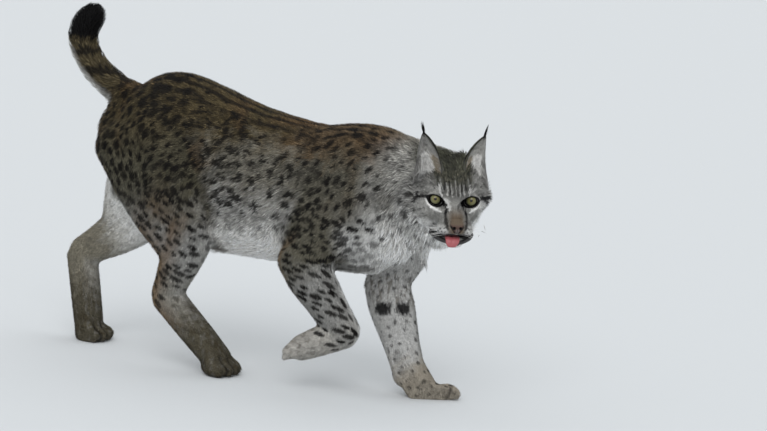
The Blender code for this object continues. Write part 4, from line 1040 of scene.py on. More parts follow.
def eye_material():
    """Black pupil, yellow-green iris with fine rays and a dark outer ring, near-black beyond, under a clear
    wet coat."""
    material, shader = principled("eye", roughness=0.25, coat_weight=0.5, specular_ior_level=0.2,
                                  coat_roughness=0.03)
    nodes, links = material.node_tree.nodes, material.node_tree.links
    place = nodes.new("ShaderNodeUVMap")
    place.uv_map = "iris"
    length, way = nodes.new("ShaderNodeVectorMath"), nodes.new("ShaderNodeVectorMath")
    length.operation, way.operation = "LENGTH", "NORMALIZE"
    scale, shift = nodes.new("ShaderNodeMath"), nodes.new("ShaderNodeMath")
    scale.operation, shift.operation = "DIVIDE", "MULTIPLY_ADD"
    scale.inputs[1].default_value = IRIS_ANGLE * RAMP_REACH
    shift.inputs[1].default_value = RAY_SHIFT
    rays = nodes.new("ShaderNodeTexNoise")
    rays.inputs["Scale"].default_value = 9.0
    rays.inputs["Detail"].default_value = 3.0
    ramp = nodes.new("ShaderNodeValToRGB")
    links.new(place.outputs["UV"], length.inputs[0])
    links.new(place.outputs["UV"], way.inputs[0])
    links.new(length.outputs["Value"], scale.inputs[0])
    links.new(way.outputs["Vector"], rays.inputs["Vector"])
    links.new(rays.outputs["Fac"], shift.inputs[0])
    links.new(scale.outputs["Value"], shift.inputs[2])
    links.new(shift.outputs["Value"], ramp.inputs["Fac"])
    links.new(ramp.outputs["Color"], shader.inputs["Base Color"])
    pupil = PUPIL_ANGLE / (IRIS_ANGLE * RAMP_REACH) + RAY_SHIFT / 2
    rim = 1 / RAMP_REACH + RAY_SHIFT / 2
    bands = [(0.0, (0.003, 0.003, 0.003)), (pupil, (0.003, 0.003, 0.003)),
             (pupil + 0.04, (0.150, 0.120, 0.034)), (pupil + 0.20, (0.165, 0.155, 0.064)),
             (rim - 0.18, (0.125, 0.122, 0.054)),
             (rim - 0.08, (0.026, 0.025, 0.014)), (rim, (0.006, 0.005, 0.004))]
    while len(ramp.color_ramp.elements) < len(bands):
        ramp.color_ramp.elements.new(0.5)
    for element, (spot, colour) in zip(ramp.color_ramp.elements, bands):
        element.position = min(spot, 1.0)
        element.color = (*colour, 1)
    return material


def paint(mesh, colour):
    """Stores linear colours, one a point, as the attribute that the coat's materials read."""
    attribute = mesh.color_attributes.new("coat", "FLOAT_COLOR", "POINT")
    rgba = np.ones((len(mesh.vertices), 4), np.float32)
    rgba[:, :3] = colour
    attribute.data.foreach_set("color", rgba.ravel())


def add_map(mesh, places, name="OFBake"):
    """Gives the mesh a map from a place on it for each point."""
    layer = mesh.uv_layers.new(name=name)
    corners = read(mesh.loops, "vertex_index", 1, int).ravel()
    layer.uv.foreach_set("vector", places[corners].astype(np.float32).ravel())


def triangles_object(name, points, triangles):
    """An object at the origin from arrays of points and triangles."""
    mesh = bpy.data.meshes.new(name)
    mesh.vertices.add(len(points))
    mesh.vertices.foreach_set("co", np.asarray(points, np.float32).ravel())
    mesh.loops.add(triangles.size)
    mesh.loops.foreach_set("vertex_index", triangles.astype(np.int32).ravel())
    mesh.polygons.add(len(triangles))
    mesh.polygons.foreach_set("loop_start", np.arange(0, triangles.size, 3, dtype=np.int32))
    mesh.update(calc_edges=True)
    return linked(name, mesh)


def tuft_mesh(name, roots, normals, flow, length, width, rise, colour, uv, rings, sink=0.0015, droop=0.0):
    """Closed blades of three sides. Each one's middle is root + flow * length * s + normal * rise * (1 - (1 -
    s)^2), with droop * s^2 added, for s from 0 to 1. Its width swells a little, then runs out to a point, and
    its ridge stands up along the normal by a third of the width. Its patch in the map lies round the place of
    its root."""
    count = len(roots)
    across = unit(np.cross(flow, normals))
    steps = np.linspace(0, 1, rings + 1)[:-1]
    shares = np.interp(steps, (0, 0.35, 0.75, 1), (0.85, 1.0, 0.62, 0.0))
    points = np.empty((count, 3 * rings + 1, 3))
    tint = np.empty((count, 3 * rings + 1, 3))
    patch = np.empty((3 * rings + 1, 2))
    colour = np.broadcast_to(colour if colour.ndim == 3 else colour[:, None], (count, rings + 1, 3))
    for r, (s, share) in enumerate(zip(steps, shares)):
        up = rise * (1 - (1 - s) ** 2) - (sink if r == 0 else 0)
        middle = roots + flow * (length * s)[:, None] + normals * up[:, None] + droop * s * s
        half = (width * share / 2)[:, None]
        points[:, 3 * r] = middle + across * half
        points[:, 3 * r + 1] = middle - across * half
        points[:, 3 * r + 2] = middle + normals * half * 0.7
        tint[:, 3 * r:3 * r + 3] = (0.84 + 0.24 * s) * colour[:, r:r + 1]
        patch[3 * r:3 * r + 3] = [(0.0, s), (1.0, s), (0.5, s)]
    points[:, -1] = roots + flow * length[:, None] + normals * rise[:, None] + droop
    tint[:, -1] = 1.10 * colour[:, -1]
    patch[-1] = (0.5, 1.0)
    faces = [(0, 1, 2)]
    for a in range(0, 3 * (rings - 1), 3):
        for i, j in ((0, 2), (2, 1), (1, 0)):
            faces += [(a + i, a + j, a + j + 3), (a + i, a + j + 3, a + i + 3)]
    last, end = 3 * (rings - 1), 3 * rings
    faces += [(last, last + 2, end), (last + 2, last + 1, end), (last + 1, last, end)]
    triangles = (np.array(faces)[None] + (np.arange(count) * (end + 1))[:, None, None]).reshape(-1, 3)
    obj = triangles_object(name, points.reshape(-1, 3), triangles)
    paint(obj.data, np.clip(tint.reshape(-1, 3), 0, 1))
    add_map(obj.data, (uv[:, None, :] + (patch[None] - 0.5) * PATCH).reshape(-1, 2))
    return obj


def finished_skin(coat, material):
    """The fine skin thinned for the model, unwrapped over its own shape, and painted."""
    obj = coat.obj
    thin = obj.modifiers.new("thin", "DECIMATE")
    thin.ratio = SKIN_TRIANGLES / (2 * len(obj.data.polygons))
    thin.use_collapse_triangulate = True
    evaluated(obj)
    bpy.context.view_layer.objects.active = obj
    obj.select_set(True)
    bpy.ops.object.mode_set(mode="EDIT")
    bpy.ops.mesh.select_all(action="SELECT")
    bpy.ops.uv.smart_project(angle_limit=math.radians(70), island_margin=0.001)
    bpy.ops.object.mode_set(mode="OBJECT")
    obj.select_set(False)
    obj.data.uv_layers[0].name = "OFBake"
    paint(obj.data, coat.colour[nearest(coat, co(obj.data))] * 0.9)
    obj.data.materials.clear()
    worn(obj, material, "coat_body", *FLESH)
    return obj


def nearest(coat, points):
    """The numbers of the fine skin's points that are nearest to the given ones."""
    return np.array([coat.tree.find(p)[1] for p in points.tolist()])


def rooted(obj, coat, density, draws):
    """Roots spread over the skin: their number on each triangle follows its area times the density there.
    Returns their places, their nearest fine points and their places on the unwrap."""
    mesh = obj.data
    points = co(mesh)
    corners = read(mesh.polygons, "vertices", 3, int)
    uvs = read(mesh.uv_layers["OFBake"].uv, "vector", 2).reshape(-1, 3, 2)
    a, b, c = (points[corners[:, k]] for k in range(3))
    area = np.linalg.norm(np.cross(b - a, c - a), axis=1) / 2
    total = np.cumsum(area * density[nearest(coat, (a + b + c) / 3)])
    count = int(total[-1])
    picks = np.searchsorted(total, (np.arange(count) + draws.random(count)) * total[-1] / count)
    picks = np.clip(picks, 0, len(area) - 1)
    u, v = draws.random((2, count))
    flip = u + v > 1
    u[flip], v[flip] = 1 - u[flip], 1 - v[flip]
    w = 1 - u - v
    place = a[picks] * w[:, None] + b[picks] * u[:, None] + c[picks] * v[:, None]
    uv = uvs[picks, 0] * w[:, None] + uvs[picks, 1] * u[:, None] + uvs[picks, 2] * v[:, None]
    return place, nearest(coat, place), uv


def coat_density(coat):
    """Tufts for each square metre: sparse where the hair is long and wide, dense where it is short."""
    return TUFT_COVER / np.maximum(coat.length * tuft_width(coat), 1e-7)


def tuft_width(coat):
    """A tuft's width grows with its length."""
    return 0.0006 + 0.062 * coat.length


def coloured(coat, place, near, step):
    """The coat's colour a step away from each place, or at the place where the step leaves its side of the
    skin."""
    there = nearest(coat, place + step)
    there = np.where(dot(coat.normals[there], coat.normals[near]) > 0.3, there, near)
    return coat.colour[there]


def bare_spots(coat, place, near):
    """Where no tuft grows: round the eyes, under the nose pad, in the open mouth and under the paws."""
    local = to_head(place)
    bare = np.zeros(len(place), bool)
    for side in SIDES:
        centre, ahead, wide, tall = lid_axes(side)
        off = local - centre
        bare |= (np.hypot((off @ wide + 0.0028) / 0.0205, off @ tall / 0.0142) < 1) & (off @ ahead > 0)
    bare |= (np.linalg.norm(local - (0.058, 0, -0.042), axis=1) < 0.013) & (local[:, 2] < -0.0325)
    return bare | coat.open_mouth[near] | (place[:, 2] < 0.0035)


def grow_coat(obj, coat, material):
    """All the body's tufts, as pieces by node, each under its limit of triangles."""
    draws = np.random.default_rng(17)
    place, near, uv = rooted(obj, coat, coat_density(coat), draws)
    keep = ~bare_spots(coat, place, near)
    place, near, uv = place[keep], near[keep], uv[keep]
    count = len(place)
    normals, flow = coat.normals[near], coat.flow[near]
    clump = drifts(place, 0.022, (81, 82, 83)) * 0.22
    flow = flattened(flow + clump + draws.normal(0, 0.15, (count, 3)), normals)
    legs = sum(coat.masks[name] for name in LIMBS)[near]
    hang = smooth(0.280 - place[:, 2], 0.0, 0.018) * (1 - legs) * (abs(place[:, 0]) < 0.24)
    hang = hang[:, None]
    normals = unit(normals * (1 - 0.7 * hang) + np.array((0.0, 0.0, -1.0)) * 0.7 * hang)
    flow = unit(flow * (1 - 0.85 * hang) + np.array((-0.93, 0.0, -0.22)) * 0.85 * hang)
    length = coat.length[near] * draws.uniform(0.72, 1.18, count)
    mouthward = np.flatnonzero((to_head(place)[:, 2] < -0.045) & (coat.masks["head"][near] > 0.5))
    over = coat.open_mouth[nearest(coat, place[mouthward] + flow[mouthward] * length[mouthward, None])]
    length[mouthward[over]] *= 0.3
    width = tuft_width(coat)[near] * draws.uniform(0.8, 1.25, count)
    rise = coat.depth[near] * draws.uniform(0.60, 1.05, count)
    rise *= 1 + 0.15 * waves(place, 0.02, seed=84)
    colour = np.stack([coloured(coat, place, near, flow * (length * s)[:, None]) for s in (0.0, 0.4, 0.8)], 1)
    colour[length < SHORT_HAIR] = colour[length < SHORT_HAIR, 1:2]
    dull = 1 - smooth(colour.mean((1, 2)), 0.05, 0.25)
    colour *= np.exp(draws.normal(0, 1, count) * (0.22 + 0.20 * dull))[:, None, None]
    room = np.maximum(place[:, 2] - 0.0012, 0)
    fall = -(flow[:, 2] * length + normals[:, 2] * rise)
    short = np.where(fall > room, np.clip(room / np.maximum(fall, 1e-6), 0.15, 1), 1)
    length, rise = length * short, rise * short
    below = (place[:, 2] < 0.30) & (legs < 0.5)
    rise *= np.where(below & (normals[:, 2] < -0.3), 0.35, 1)
    owner = coat.owner[near]
    for k, name in enumerate(FLESH):
        for kind, rings, chosen in (("fur", 1, length < SHORT_HAIR), ("hair", 2, length >= SHORT_HAIR)):
            mine = np.flatnonzero((owner == k) & chosen)
            order = mine[np.argsort(place[mine] @ np.array((-1.0, 0.4, 0.2)))]
            parts = math.ceil(len(order) * (6 * rings - 2) / MOST_TRIANGLES)
            for n, part in enumerate(np.array_split(order, parts) if parts else []):
                title = f"{kind}_{name}" + (f"_{n + 1}" if parts > 1 else "")
                wide = width[part] * (1.35 if rings == 1 else 1)
                shades = colour[part][:, ::2] if rings == 1 else colour[part]
                piece = tuft_mesh(title, place[part], normals[part], flow[part], length[part], wide, rise[part],
                                  shades, uv[part], rings)
                worn(piece, material, SLOTS[name.split("_")[0]], name)


def camera():
    """The pinhole of the photograph: it sees ANCHOR at ANCHOR_PIXEL from CAMERA_DISTANCE."""
    a, e, roll = (math.radians(v) for v in (CAMERA_AZIMUTH, CAMERA_PITCH, CAMERA_ROLL))
    back = np.array([math.sin(a) * math.cos(e), -math.cos(a) * math.cos(e), math.sin(e)])
    right = np.array([math.cos(a), math.sin(a), 0])
    up = np.cross(back, right)
    right, up = right * math.cos(roll) + up * math.sin(roll), up * math.cos(roll) - right * math.sin(roll)
    focal = LENS / SENSOR * FRAME_WIDTH
    dx = (ANCHOR_PIXEL[0] - FRAME_WIDTH / 2) / focal
    dy = -(ANCHOR_PIXEL[1] - FRAME_HEIGHT / 2) / focal
    place = ANCHOR - CAMERA_DISTANCE * (-back + dx * right + dy * up)
    data = bpy.data.cameras.new("camera")
    data.lens, data.sensor_width = LENS, SENSOR
    obj = bpy.data.objects.new("camera", data)
    obj.matrix_world = Matrix(np.vstack([np.column_stack([right, up, back, place]), (0, 0, 0, 1)]).tolist())
    bpy.context.scene.collection.objects.link(obj)
    bpy.context.scene.camera = obj


def stage():
    """A plain pale floor and soft white light from all round, brighter from above."""
    mesh = bpy.data.meshes.new("floor")
    corners = [(-30, -30, FLOOR), (30, -30, FLOOR), (30, 30, FLOOR), (-30, 30, FLOOR)]
    mesh.from_pydata(corners, [], [(0, 1, 2, 3)])
    floor = linked("floor", mesh)
    mesh.materials.append(principled("floor", base_color=(0.63, 0.65, 0.665, 1), roughness=0.9)[0])
    world = bpy.data.worlds.new("studio")
    world.use_nodes = True
    sky = world.node_tree.nodes["Background"]
    sky.inputs["Color"].default_value = (0.95, 0.98, 1.0, 1)
    sky.inputs["Strength"].default_value = 0.78
    bpy.context.scene.world = world
    lamps = (("key", (0.9, -2.2, 2.0), 1.25, 40), ("top", (-0.5, 0.4, 3.0), 0.35, 80))
    for name, place, strength, spread in lamps:
        data = bpy.data.lights.new(name, "SUN")
        data.energy, data.angle = strength, math.radians(spread)
        lamp = bpy.data.objects.new(name, data)
        lamp.location = place
        lamp.rotation_euler = Vector([-v for v in place]).to_track_quat("-Z", "Y").to_euler()
        bpy.context.scene.collection.objects.link(lamp)


def ear_sheet(out, up, across, layer):
    """A point of an ear's inner (layer -1) or outer (layer 1) face. up runs from the root, 0, to the tip, 1,
    and across from -1 to 1 round the cup: an arc whose half width shrinks and whose bend opens towards the
    tip."""
    root, tip = (np.array((x, out * y, z)) for x, y, z in (EAR_ROOT, EAR_TIP))
    axis = unit(tip - root)
    root = root - axis * EAR_SINK
    height = np.linalg.norm(tip - root)
    facing = np.array((0.87, out * 0.50, 0.0))
    facing = unit(facing - facing @ axis * axis)
    aside = np.cross(axis, facing)
    half = 0.0006 + 0.0325 * (1 - up) ** 0.76 * (0.97 + 0.36 * up)
    bend = np.radians(100 - 52 * up)
    radius = half / np.sin(np.minimum(bend, math.pi / 2))
    wall = EAR_WALL * (1 - 0.75 * up) * (1 - 0.5 * across ** 2)
    angle = bend * across
    reach = radius + layer * wall
    centre = root + (height * up)[:, None] * axis - (0.010 * np.sin(math.pi * up))[:, None] * facing
    centre = centre + (radius * 0.55)[:, None] * facing
    local = centre - (reach * np.cos(angle))[:, None] * facing + (reach * np.sin(angle))[:, None] * aside
    return from_head(local)


def ear_frame(out, up, across, layer):
    """Place, outward normal, way to the tip and way across of the ear's face."""
    step = 1e-3
    place = ear_sheet(out, up, across, layer)
    above = ear_sheet(out, np.minimum(up + step, 1), across, layer)
    rise = unit(above - ear_sheet(out, up - step, across, layer))
    aside = unit(ear_sheet(out, up, across + step, layer) - ear_sheet(out, up, across - step, layer))
    normal = unit(np.cross(rise, aside)) * -1
    cup = ear_sheet(out, up, across, 1.0) - ear_sheet(out, up, across, -1.0)
    normal = normal * np.sign(dot(normal, cup * layer))[:, None]
    return place, normal, rise, aside


def ear_colour(up, across, inner, out):
    """Pale inside, whiter towards the head, with a dark rim and a dark patch low on the outer side, black
    behind with a grey patch. The left ear's inside is painted brighter, as painted light on its lit side."""
    outward = across * out
    rim = smooth(-outward, 0.84, 0.96)
    if inner:
        # Painted light: the left ear's inside, on the lit side, is painted brighter.
        lit_gain = 1.5 if out > 0 else 1.1
        ground = np.tile(PALE_GREY * 0.62 * lit_gain, (len(up), 1))
        colour = mixed(ground, PALE_GREY * 0.80 * lit_gain, 1 - smooth(outward, -0.5, 0.3))
        colour = mixed(colour, WHITE * 0.62 * lit_gain, 1 - smooth(up, 0.3, 0.5))
        colour = mixed(colour, SPOT * 2, smooth(outward, 0.35, 0.7) * smooth(0.60 - up, 0, 0.2) * 0.7)
        colour = mixed(colour, CROWN * 2, smooth(-outward, 0.35, 0.75) * smooth(up, 0.5, 0.7) * 0.7)
        return mixed(colour, BLACK * 1.5, np.maximum(rim * 0.9, smooth(up, 0.92, 0.99)))
    colour = np.tile(BLACK * 1.6, (len(up), 1))
    patch = (1 - smooth(abs(across), 0.3, 0.6)) * smooth(up, 0.3, 0.4) * (1 - smooth(up, 0.62, 0.76))
    colour = mixed(colour, PALE_GREY * 0.8, patch * 0.9)
    return mixed(colour, HEAD_GREY * 0.6, (1 - smooth(up, 0.25, 0.4)) * 0.9)


def ear_map(up, across, behind):
    """Places on an ear's map: the inner face on its left half, the outer one, with behind as 1, on its
    right."""
    return np.stack([0.02 + 0.46 * (across + 1) / 2 + behind * 0.5, 0.02 + 0.96 * up], 1)


def ear_shell(side):
    """An ear's cupped skin: its inner and outer faces, joined round the border."""
    out = SIDES[side]
    rows, columns = 26, 27
    ups, acrosses = np.linspace(0, 1, rows), np.linspace(-1, 1, columns)
    up, across = (g.ravel() for g in np.meshgrid(ups, acrosses, indexing="ij"))
    sheets = [ear_sheet(out, up, across, layer) for layer in (-1.0, 1.0)]
    faces = grid_faces(rows, columns, closed=False)
    count = rows * columns
    border = np.concatenate([np.arange(columns), np.arange(1, rows) * columns + columns - 1,
                             (rows - 1) * columns + np.arange(columns - 2, -1, -1),
                             np.arange(rows - 2, 0, -1) * columns])
    after = np.roll(border, -1)
    rim = np.stack([border, after, after + count, border + count], 1)
    ear = new_object(f"ear_shell_{side}", np.vstack(sheets), np.vstack([faces, faces[:, ::-1] + count, rim]))
    paint(ear.data, np.vstack([ear_colour(up, across, inner, out) * 0.75 for inner in (True, False)]))
    add_map(ear.data, np.vstack([ear_map(up, across, behind) for behind in (0, 1)]))
    return ear


# The hair of an ear: how many, outer face 1 or inner -1, from and to of up and of across on the left ear,
# length, width, rise, lean outwards, and tint, or None for the colour of the ear there.
EAR_HAIR = [
    (1900, 1.0, (0.16, 0.99), (-1.0, 1.0), 0.0085, 0.0012, 0.0016, 0.0, None),
    (1500, -1.0, (0.04, 0.97), (-0.95, 0.95), 0.0085, 0.0012, 0.0024, 0.0, None),
    (420, -1.0, (0.16, 0.60), (-1.0, -0.30), 0.028, 0.0013, 0.0130, 0.85, PALE_GREY * 0.85),
    (120, -1.0, (0.12, 0.60), (0.55, 1.0), 0.020, 0.0012, 0.0080, -0.45, PALE_GREY * 0.7),
    (240, -1.0, (0.03, 0.42), (-1.0, -0.4), 0.023, 0.0014, 0.0140, 0.35, TAN),
    (240, -1.0, (0.03, 0.42), (-0.5, 0.1), 0.023, 0.0014, 0.0140, 0.35, WHITE * 0.7),
    (260, -1.0, (0.03, 0.42), (0.0, 0.6), 0.023, 0.0014, 0.0140, 0.35, WHITE * 0.55),
    (420, 1.0, (0.10, 0.97), (-1.0, -0.93), 0.0070, 0.0011, 0.0016, -0.12, CROWN * 1.5),
    (420, 1.0, (0.10, 0.97), (0.93, 1.0), 0.0070, 0.0011, 0.0016, 0.12, PALE_GREY * 0.6),
]


def ear_tuft(out, draws):
    """The black tuft at an ear's tip, as the values that tuft_mesh takes."""
    tip = ear_sheet(out, np.array([0.985]), np.array([0.0]), 1.0)[0]
    count = 46
    ahead = draws.normal(0.02, 0.055, count)
    lean = np.stack([ahead, out * draws.normal(0.10, 0.055, count), np.ones(count)], 1)
    flow = unit(lean) @ HEAD_TURN.T
    normal = flattened(unit(np.cross(flow, draws.normal(size=(count, 3)))), flow)
    size = EAR_TUFT * draws.uniform(0.55, 1.04, count)
    start = tip - flow * 0.004 + draws.normal(0, 0.0007, (count, 3))
    droop = np.tile(HEAD_TURN @ np.array((-0.003, out * 0.0045, 0.0)), (count, 1))
    return (start, normal, flow, size, np.full(count, 0.0013), np.zeros(count),
            np.tile(BLACK * 0.8, (count, 1)), np.full((count, 2), 0.985), droop)


def make_ear(side, skin_finish, coat_finish, draws):
    """One ear: its cupped skin, short fur on both faces, long pale hair across its mouth and the black
    tuft."""
    out = SIDES[side]
    worn(ear_shell(side), skin_finish, "coat_ears", f"ear_{side}")
    sets = []
    for count, layer, (low, high), edge, length, width, rise, lean, tint in EAR_HAIR:
        u = draws.uniform(low, high, count)
        left, right = sorted((edge[0] * out, edge[1] * out))
        c = draws.uniform(left, right, count)
        place, normal, rising, aside = ear_frame(out, u, c, layer)
        flow = flattened(unit(rising + aside * (lean * out) + draws.normal(0, 0.10, (count, 3))), normal)
        size = length * draws.uniform(0.7, 1.15, count) * (1 - 0.45 * smooth(u, 0.6, 1.0))
        colour = ear_colour(u, c, layer < 0, out) if tint is None else np.tile(tint, (count, 1))
        # Painted light: the left ear's tinted hair is painted brighter on the lit side.
        colour = colour * draws.uniform(0.8, 1.2, count)[:, None] * (1.3 if out > 0 and tint is not None else 1)
        rises = rise * draws.uniform(0.5, 1, count)
        sets.append((place, normal, flow, size, np.full(count, width), rises, colour, ear_map(u, c, layer > 0),
                     np.zeros((count, 3))))
    sets.append(ear_tuft(out, draws))
    joined = [np.concatenate(column) for column in zip(*sets)]
    fur = tuft_mesh(f"ear_fur_{side}", *joined[:8], rings=2, sink=0.0006, droop=joined[8])
    worn(fur, coat_finish, "coat_ears", f"ear_{side}")


def make_eye(side, material):
    """An eyeball turned to the camera: rings of latitude from the pupil's middle back, with a low cornea. The
    lift of the cornea is CORNEA_LIFT * (1 - (angle / edge)^2)^1.5 inside its edge. The map holds the way
    round the gaze times the angle from it."""
    centre = from_head(eye_middle(side))
    gaze = unit(np.array(bpy.context.scene.camera.matrix_world.translation) - centre)
    aside = unit(np.cross((0, 0, 1), gaze))
    up = np.cross(gaze, aside)
    rows, columns = 44, 64
    latitude = math.pi * np.linspace(0, 1, rows) ** 1.35
    turn = np.linspace(0, 2 * math.pi, columns, endpoint=False)
    angle, spin = (g.ravel() for g in np.meshgrid(latitude, turn, indexing="ij"))
    lift = CORNEA_LIFT * np.clip(1 - (angle / (IRIS_ANGLE * 1.1)) ** 2, 0, 1) ** 1.5
    radius = EYE_RADIUS - 0.0004 + lift
    ball = (np.cos(angle)[:, None] * gaze + (np.sin(angle) * np.cos(spin))[:, None] * aside
            + (np.sin(angle) * np.sin(spin))[:, None] * up)
    eye = new_object(f"eyeball_{side}", centre + ball * radius[:, None], grid_faces(rows, columns))
    away = unit(co(eye.data) - centre)
    flat = np.stack([away @ aside, away @ up], 1)
    stretch = np.arccos(np.clip(away @ gaze, -1, 1)) / np.maximum(np.linalg.norm(flat, axis=1), 1e-6)
    add_map(eye.data, flat * stretch[:, None], "iris")
    worn(eye, material, "eyes", f"eye_{side}")


def make_lids(side, coat, material):
    """The lids: a closed band round the almond opening. The almond is a wide cosine by a tall sine, fuller
    above, and the band's section runs up from the eyeball over a rounded margin and back under the skin."""
    centre, ahead, wide, tall = lid_axes(side)
    count = 72
    turn = np.linspace(0, 2 * math.pi, count, endpoint=False)
    flat = LID_WIDE * np.cos(turn)
    high = np.where(np.sin(turn) > 0, LID_ABOVE, LID_BELOW) * np.sin(turn) * abs(np.sin(turn)) ** 0.25
    rings = []
    for grow, lift in LID_SECTION:
        u, v = flat * grow, high * (grow + 0.15 * (grow - 1))
        radius = EYE_RADIUS + lift
        reach = np.sqrt(np.maximum(radius ** 2 - u ** 2 - v ** 2, (0.30 * radius) ** 2))
        rings.append(centre + reach[:, None] * ahead + u[:, None] * wide + v[:, None] * tall)
    last = (len(rings) - 1) * count
    k, n = np.arange(count), (np.arange(count) + 1) % count
    faces = np.vstack([grid_faces(len(rings), count), np.stack([last + k, last + n, n, k], 1)])
    lids = new_object(f"lids_{side}", from_head(np.vstack(rings)), faces)
    rounder = lids.modifiers.new("round", "SUBSURF")
    rounder.levels = rounder.render_levels = 1
    evaluated(lids)
    points = co(lids.data)
    local = to_head(points) - centre
    u, v = local @ wide / LID_WIDE, local @ tall / np.where(local @ tall > 0, LID_ABOVE, LID_BELOW)
    thick = 0.16 * smooth(-v, 0.1, 0.5) + 0.12 * smooth(-u, 0.2, 0.7)
    rim = 1 - smooth(np.sqrt(u ** 2 + np.abs(v) ** 1.7) - thick, 1.12, 1.24)
    paint(lids.data, mixed(coat.colour[nearest(coat, points)], BLACK * 0.9, rim))
    worn(lids, material, "coat_head", "head")


def make_lip(name, half, sizes, material):
    """A lip: a closed round tube on a Catmull-Rom spline through the given points, in millimetres in the
    head's frame from its corner to the middle, and through their mirror images. Its radius runs along with
    it."""
    path = np.array(half + [(x, -y, z) for x, y, z in reversed(half[:-1])]) / 1000
    radii = np.array(list(sizes) + list(reversed(sizes[:-1]))) / 1000
    sides = 10
    t = np.linspace(0, len(path) - 1, 12 * (len(path) - 1) + 1)
    k = np.clip(t.astype(int), 0, len(path) - 2)
    f = (t - k)[:, None]
    full = np.vstack([2 * path[0] - path[1], path, 2 * path[-1] - path[-2]])
    a, b, c, d = full[k], full[k + 1], full[k + 2], full[k + 3]
    line = 0.5 * (2 * b + (c - a) * f + (2 * a - 5 * b + 4 * c - d) * f ** 2 + (3 * b - a - 3 * c + d) * f ** 3)
    size = np.interp(t, np.arange(len(path)), radii)
    ahead = unit(np.gradient(line, axis=0))
    side = unit(np.cross(ahead, (0.05, 0.02, 1.0)))
    up = np.cross(side, ahead)
    turn = np.linspace(0, 2 * math.pi, sides, endpoint=False)
    ring = np.cos(turn)[None, :, None] * side[:, None] + np.sin(turn)[None, :, None] * up[:, None]
    points = (line[:, None] + ring * size[:, None, None]).reshape(-1, 3)
    count = len(line)
    points = np.vstack([points, line[0] - ahead[0] * size[0], line[-1] + ahead[-1] * size[-1]])
    faces = grid_faces(count, sides).tolist()
    first, last, top = count * sides, count * sides + 1, (count - 1) * sides
    faces += [(first, (i + 1) % sides, i) for i in range(sides)]
    faces += [(last, top + i, top + (i + 1) % sides) for i in range(sides)]
    worn(new_object(name, from_head(points), faces), material, "coat_head", "head")


def refined(name, node, voxel, rounds):
    """A fine smooth copy of a CAD node's shape."""
    obj = merged_copy(name, [node])
    remesh = obj.modifiers.new("fine", "REMESH")
    remesh.mode, remesh.voxel_size = "VOXEL", voxel
    soften = obj.modifiers.new("soften", "SMOOTH")
    soften.factor, soften.iterations = 0.5, rounds
    return evaluated(obj)


def make_nose(streaks):
    """The nose pad: pink-brown in the middle, black at its rim and down the groove, with painted shade in the
    nostrils, finely pebbled."""
    nose = refined("nose_pad", "nose", 0.0007, 8)
    local = to_head(co(nose.data))
    local[:, 0] -= 0.0075 * smooth(local[:, 2], -0.0365, -0.0295)
    set_co(nose.data, from_head(local))
    x, y, z = local.T * 1000
    side = abs(y)
    rim = np.maximum(smooth(side, 8.0, 11.5) * smooth(-z, 34, 38), smooth(-z, 44.5, 48.5))
    # Painted shade: the nostrils are painted black as the shade of their openings.
    nostril_shade = 1 - smooth(np.hypot(side - 7.0, (z + 40.5) * 1.1), 2.6, 4.2)
    groove = (1 - smooth(side, 0.2, 0.9)) * smooth(-z, 38, 42)
    below = (1 - smooth(side, 2.0, 4.5)) * smooth(-z, 40, 43) * (1 - groove)
    colour = np.tile((0.090, 0.056, 0.046), (len(x), 1))
    colour = mixed(colour, BLACK * 0.9, np.maximum.reduce([rim, nostril_shade, groove]))
    colour = mixed(colour, (0.20, 0.165, 0.155), below * 0.7)
    colour = mixed(colour, BRIDGE * 0.9, smooth(z, -36, -31.5))
    paint(nose.data, colour)
    worn(nose, coat_material("nose leather", streaks, 0.25, 900.0, 0.45, bump=0.0006), "nose", "nose")


def make_mouth(streaks):
    """Black lips along the mouth's two edges, and the tongue over the lower one, with a shallow groove down
    it."""
    finish = plain_material("lip", (0.009, 0.007, 0.007), 0.5, 900.0, 0.4, 0.0003, streaks, 0.1)
    make_lip("lip_upper", [(4, 40.5, -61), (14, 38, -58.5), (28, 32, -57.5), (45, 20, -56.5), (53, 8, -55.0),
                           (54.5, 0, -54.2)], (0.5, 1.3, 1.5, 1.4, 1.2, 1.0), finish)
    make_lip("lip_lower", [(-12, 42.0, -65.5), (0, 41.5, -65.8), (12, 38.0, -67.0), (26, 30.0, -70.0),
                           (42, 16.5, -72.4), (49, 6.5, -73), (50, 0, -73)],
             (0.8, 3.2, 4.4, 4.6, 3.8, 2.6, 2.2), finish)
    tongue = refined("tongue_tip", "tongue", 0.0009, 40)
    points, normals = co(tongue.data), normals_of(tongue.data)
    x, y, _ = to_head(points).T * 1000
    middle = -2 - 5 * smooth(x, 10, 50)
    dent = 0.0011 * np.exp(-((y - middle) / 2.2) ** 2) * smooth(normals[:, 2] + normals[:, 0] * 0.5, 0.1, 0.6)
    set_co(tongue.data, points - normals * dent[:, None])
    finish = plain_material("tongue", (0.37, 0.085, 0.095), 0.35, 1400.0, 0.22, 0.0008, streaks, 0.25)
    worn(tongue, finish, "tongue", "tongue")


